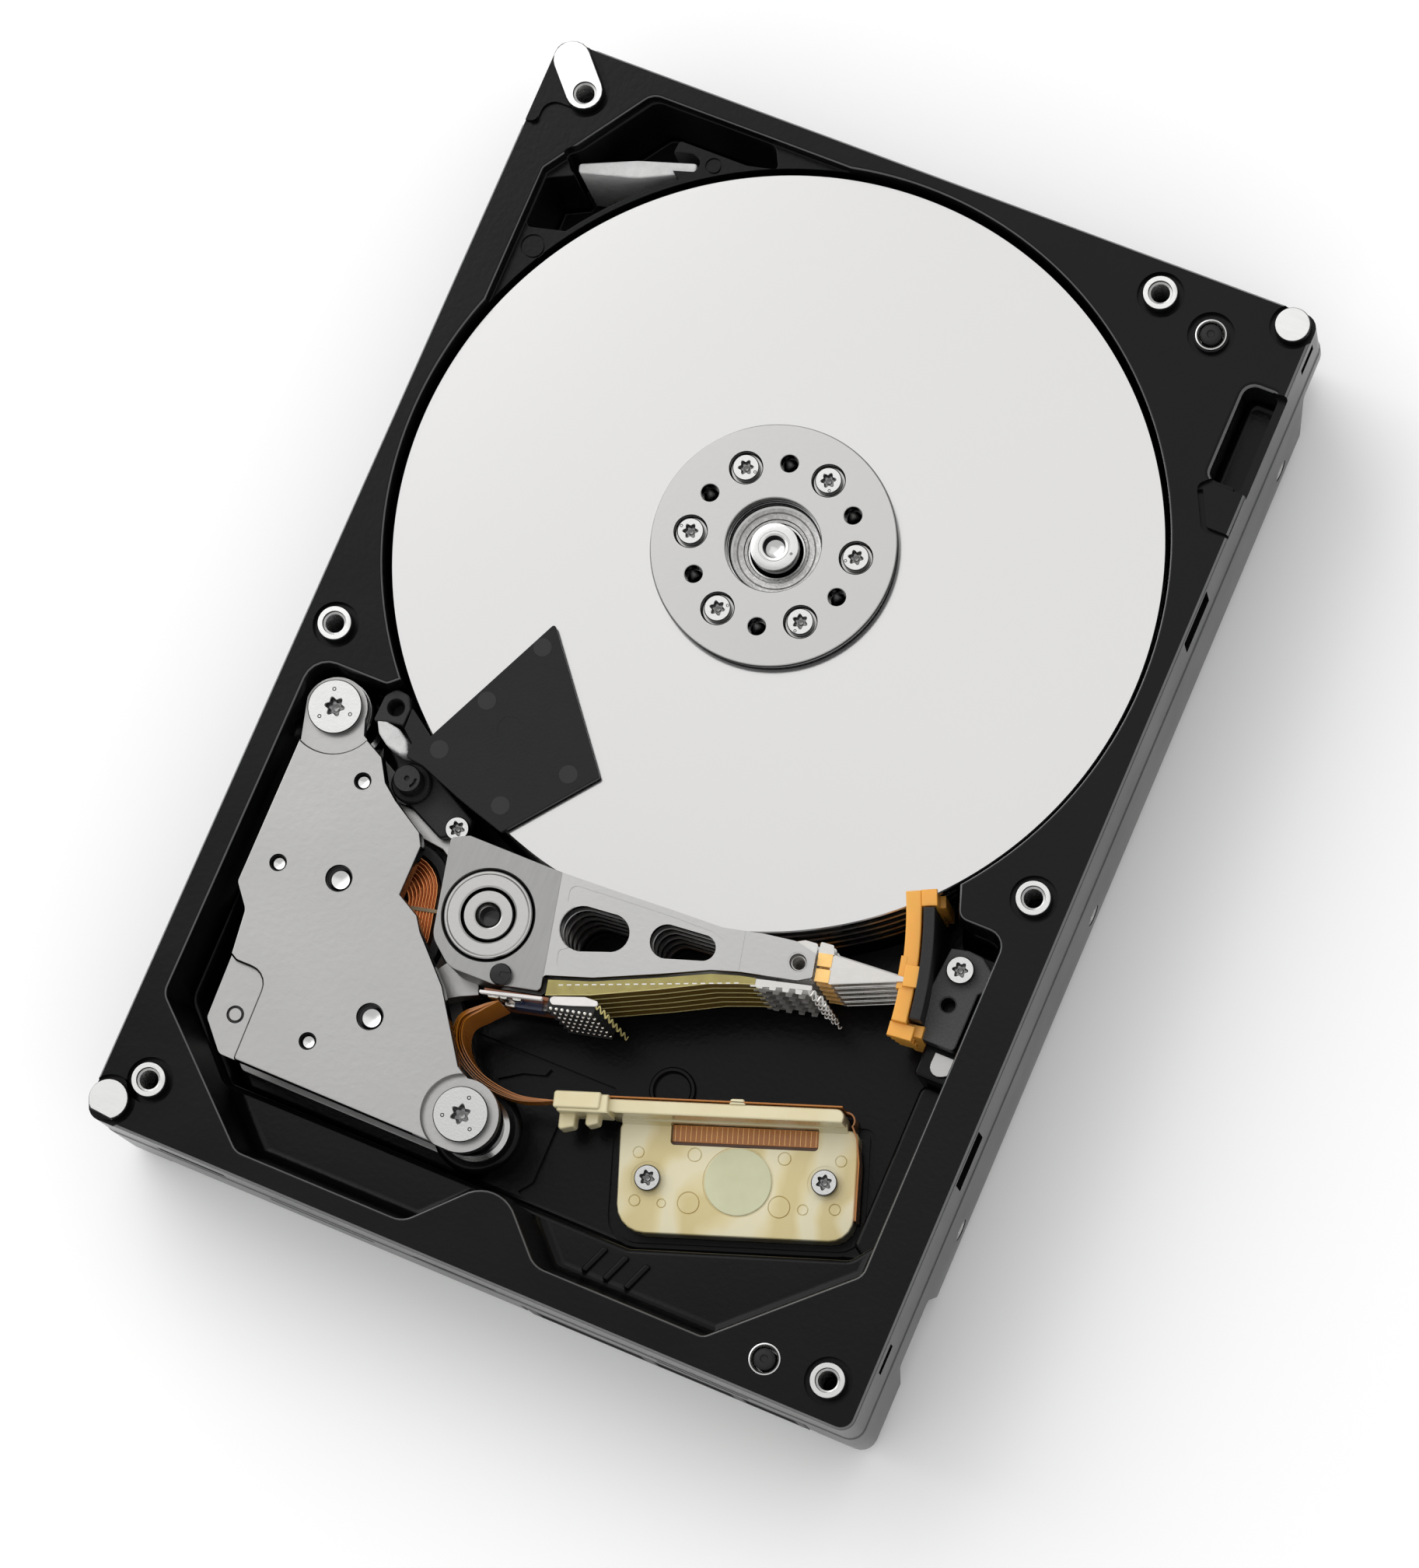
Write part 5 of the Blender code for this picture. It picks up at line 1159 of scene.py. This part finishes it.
MOULD_SPOTS = ((-12.4, 3.2, 0.75), (-5.5, 3.2, 0.9), (5.5, 3.2, 0.85), (12.4, 3.2, 0.75), (-12.5, -2.7, 0.75),
    (-9.2, -2.9, 0.6), (-5.9, -2.7, 1.4), (5.2, -2.7, 1.4), (8.1, -2.9, 0.7), (12.0, -2.7, 0.75))
rims += [turned([(r - 0.14, 9.6), (r, 9.7), (r, CLEAR), (r - 0.14, CLEAR)], (x, y), 24)
    for x, y, r in MOULD_SPOTS]
rims += [turned([(2.0, 9.74), (2.15, 9.74), (2.15, CLEAR), (2.0, CLEAR)], c, 40) for c in BED_SCREWS]
shaped(bed_plate, on_bed(rims))
finished(bed_plate, pearl, "base", 30)
dressed(bed_plate, cream, lambda x, y, z, n: z > 10.5)
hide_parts("flex_bracket")
made_of("bed_boss", on_bed([slab(circle((0, 0.1), 4.1, 64), 9.6, 9.95, 0.08)]), green_pearl, "base", 30)
window = [block(-8.5, 9.4, 4.8, 6.9, 8.4, 9.0, 0.05), block(-15.9, 12.8, 9.0, 9.2, 7.0, 14.9, 0.05),
    slab(ribbon(arc((12.8, 8.1), 1.0, 90, -40, 8) + [(14.2, 6.0), (14.6, 3.0), (14.6, -4.0)], 0.1), 7.0,
    10.4)]
made_of("bed_film", on_bed(window), amber_film, "base")
made_of("bed_film_edge", on_bed([block(-8.5, 9.4, 4.4, 4.8, 8.4, 9.05, 0.05)]), brown_edge, "base")
grid = [block(-8.2 + 0.64 * k, -8.14 + 0.64 * k, 4.9, 6.8, 8.97, 9.03) for k in range(28)]
made_of("bed_traces", on_bed(grid), gold, "base")
clip = [slab([(-22.3, 7.3, 0.3), (-16.6, 7.3, 0.3), (-16.4, 9.4, 0.3), (-22.2, 9.4, 0.4)], 13.2, 16.2, 0.3),
    slab([(-21.9, 4.9, 0.4), (-19.9, 5.4, 0.4), (-19.8, 7.2), (-21.8, 7.2)], 11.0, 13.8, 0.3),
    slab([(-18.6, 5.4, 0.4), (-17.0, 5.9, 0.4), (-16.9, 7.2), (-18.5, 7.2)], 11.0, 13.8, 0.3),
    slab([(-1.0, 8.8), (1.0, 8.8), (0.8, 9.5, 0.3), (-0.8, 9.5, 0.3)], 9.0, 14.9, 0.2)]
made_of("bed_clip", on_bed(clip), cream, "base")
for mark, place, turn in zip("ab", BED_SCREWS, (5, 40)):
    spot = placed([place], BED, BED_TURN)[0]
    screw(f"bed_screw_{mark}", f"flex_screw_{mark}", "base", spot, (6.6, 10.1, 0.8, 1.6), 10.9, 0.95, turn)


def smooth(knots, steps):
    """Curve through knots (Catmull-Rom)."""
    ends = [knots[0]] + knots + [knots[-1]]
    points = []
    for i in range(len(knots) - 1):
        p = ends[i:i + 4]
        for k in range(steps):
            t = k / steps
            points.append(tuple(0.5 * (2 * p[1][a] + (p[2][a] - p[0][a]) * t
                + (2 * p[0][a] - 5 * p[1][a] + 4 * p[2][a] - p[3][a]) * t ** 2
                + (3 * p[1][a] - p[0][a] - 3 * p[2][a] + p[3][a]) * t ** 3) for a in (0, 1)))
    points.append(knots[-1])
    return points


cable_start = placed([(2.6, -9.7)], PIVOT, PARKED)[0]
cable_end = placed([(-22.3, 8.2)], BED, BED_TURN)[0]
loop = smooth([cable_start, (-11.5, -42.4), (-13.4, -44.6), (-12.6, -47.6), (-9.2, -49.9), (-4.2, -50.4),
    cable_end], 14)
last = len(loop) - 1
strands = []
for k in range(5):
    middle = []
    for i, (x, y) in enumerate(loop):
        ux, uy = heading(loop[max(i - 1, 0)], loop[min(i + 1, last)])
        shift = 0.30 * (k - 2) * math.sin(math.pi * i / last)
        middle.append((x - uy * shift, y + ux * shift))
    sides = [ribbon(middle, half) for half in (0.06, -0.06)]
    points, faces = [], []
    for i in range(last + 1):
        part = i / last
        ease = part * part * (3 - 2 * part)
        low = 12.4 + 0.2 * ease + 0.25 * (k % 2)
        high = 20.6 - 5.2 * ease + 0.35 * (k % 3) * math.sin(math.pi * part)
        (ax, ay), (bx, by) = sides[0][i], sides[1][i]
        points += [(ax, ay, low), (bx, by, low), (bx, by, high), (ax, ay, high)]
    for i in range(last):
        for a in range(4):
            b = (a + 1) % 4
            faces.append((4 * i + a, 4 * i + b, 4 * i + 4 + b, 4 * i + 4 + a))
    faces += [(3, 2, 1, 0), (4 * last, 4 * last + 1, 4 * last + 2, 4 * last + 3)]
    strands.append((points, faces))
cable = made_of("cable", strands, amber_film, None, 50, False)
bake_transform(cable)
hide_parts("flex_cable")

# ==== Port plugs ====
# Soft black plugs close the two test ports in the deck.
soft_black = finish("soft_black", (0.006, 0.006, 0.006), (0.012, 0.012, 0.012), 0.6, scale=900.0, bump=0.2,
    Specular_IOR_Level=0.3)
for mark, place in zip("ab", PORTS):
    plug = raw(f"plug_{mark}", [turned([(0, 20.4), (1.3, 20.4), (1.3, 24.5), (1.2, 24.75), (0.9, 24.88),
        (0.5, 24.9), (0.4, 24.75), (0, 24.72)], place, 40)])
    finished(plug, soft_black, "base", 50)
    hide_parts(f"port_plug_{mark}")

# ==== Circuit board and connector ====
# A green glass-fibre board hangs under the casting with three packages on it
# and a moulded connector with gilt contacts at the back edge.
green_mask = finish("green_mask", (0.010, 0.075, 0.030), (0.006, 0.050, 0.020), 0.30, scale=300.0,
    fine=1800.0, spread=0.12, bump=0.1, Coat_Weight=0.3)
package = finish("package", (0.012, 0.012, 0.013), (0.022, 0.022, 0.023), 0.45, scale=900.0, fine=5000.0,
    spread=0.1, bump=0.15)
edge = [(-43.4, -72.6), (43.4, -72.6), (43.4, 7.0, 2.0), (18.0, 7.0, 1.0), (13.0, 2.0, 1.0),
    (-13.0, 2.0, 1.0), (-18.0, 7.0, 1.0), (-43.4, 7.0, 2.0)]
main_board = raw("main_board", [slab(edge, 0.45, 1.6, 0.05)])
BOARD_HOLES = ((-40.0, -66.0), (-40.0, 3.0), (39.5, 3.0), (39.5, -58.0), (0.0, -1.5))
shaped(main_board, [slab(circle(c, 1.5, 32), 0.0, 5.0) for c in BOARD_HOLES])
finished(main_board, green_mask, "base")
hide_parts("circuit_board")
random.seed(7)
lands, parts = [], []
for c in BOARD_HOLES:
    lands.append(turned([(1.5, 0.38), (2.6, 0.38), (2.6, 0.6), (1.5, 0.6)], c, 32))
for k in range(70):
    x, y = random.uniform(-40, 40), random.uniform(-60, 0)
    if abs(x + 1) < 10 and -39 < y < -19 or 14 < x < 27 and -18 < y < -5 or -32 < x < -18 and -42 < y < -20:
        continue
    lands.append(block(x - 0.5, x + 0.5, y - 0.3, y + 0.3, 0.36, 0.5))
    parts.append(block(x - 0.28, x + 0.28, y - 0.3, y + 0.3, 0.05, 0.4, 0.04))
made_of("board_lands", lands, solder, "base")
made_of("board_parts", parts, package, "base")

housing = raw("housing", [block(5.6, 42.6, -73.0, -64.0, 1.95, 8.85, 0.2)])
shaped(housing, [block(x0, x1, -80.0, -66.0, 3.0, 7.8) for x0, x1 in ((7.0, 21.0), (22.6, 33.0),
    (34.4, 41.4))])
finished(housing, package, "base")
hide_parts("sata_connector")
tongues = [block(7.6, 20.4, -72.4, -65.9, 4.9, 6.0, 0.1), block(23.2, 32.4, -72.4, -65.9, 4.9, 6.0, 0.1)]
made_of("connector_tongues", tongues, package, "base")
contacts = [block(8.0 + 0.82 * k, 8.45 + 0.82 * k, -72.2, -66.0, 4.78, 4.95) for k in range(15)]
contacts += [block(23.6 + 1.2 * k, 24.1 + 1.2 * k, -72.2, -66.0, 4.78, 4.95) for k in range(7)]
contacts += [block(35.3 + 1.6 * k, 35.9 + 1.6 * k, -72.4, -65.9, z, z + 0.6, 0.1) for k in range(4)
    for z in (4.0, 6.2)]
made_of("connector_contacts", contacts, gold, "base")
for name, node, x0, x1, y0, y1, high in (("large_package", "controller_chip", -8.0, 6.0, -36.0, -22.0, 3.1),
    ("driver_package", "motor_driver_chip", 16.0, 25.0, -16.0, -7.0, 3.0),
    ("memory_package", "memory_chip", -30.0, -20.0, -40.0, -22.0, 3.0)):
    chip = raw(name, [block(x0, x1, y0, y1, 1.92, high, 0.12)])
    shaped(chip, [slab(circle((x0 + 1.2, y0 + 1.2), 0.4, 20), high - 0.1, 9.0)])
    finished(chip, package, "base")
    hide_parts(node)
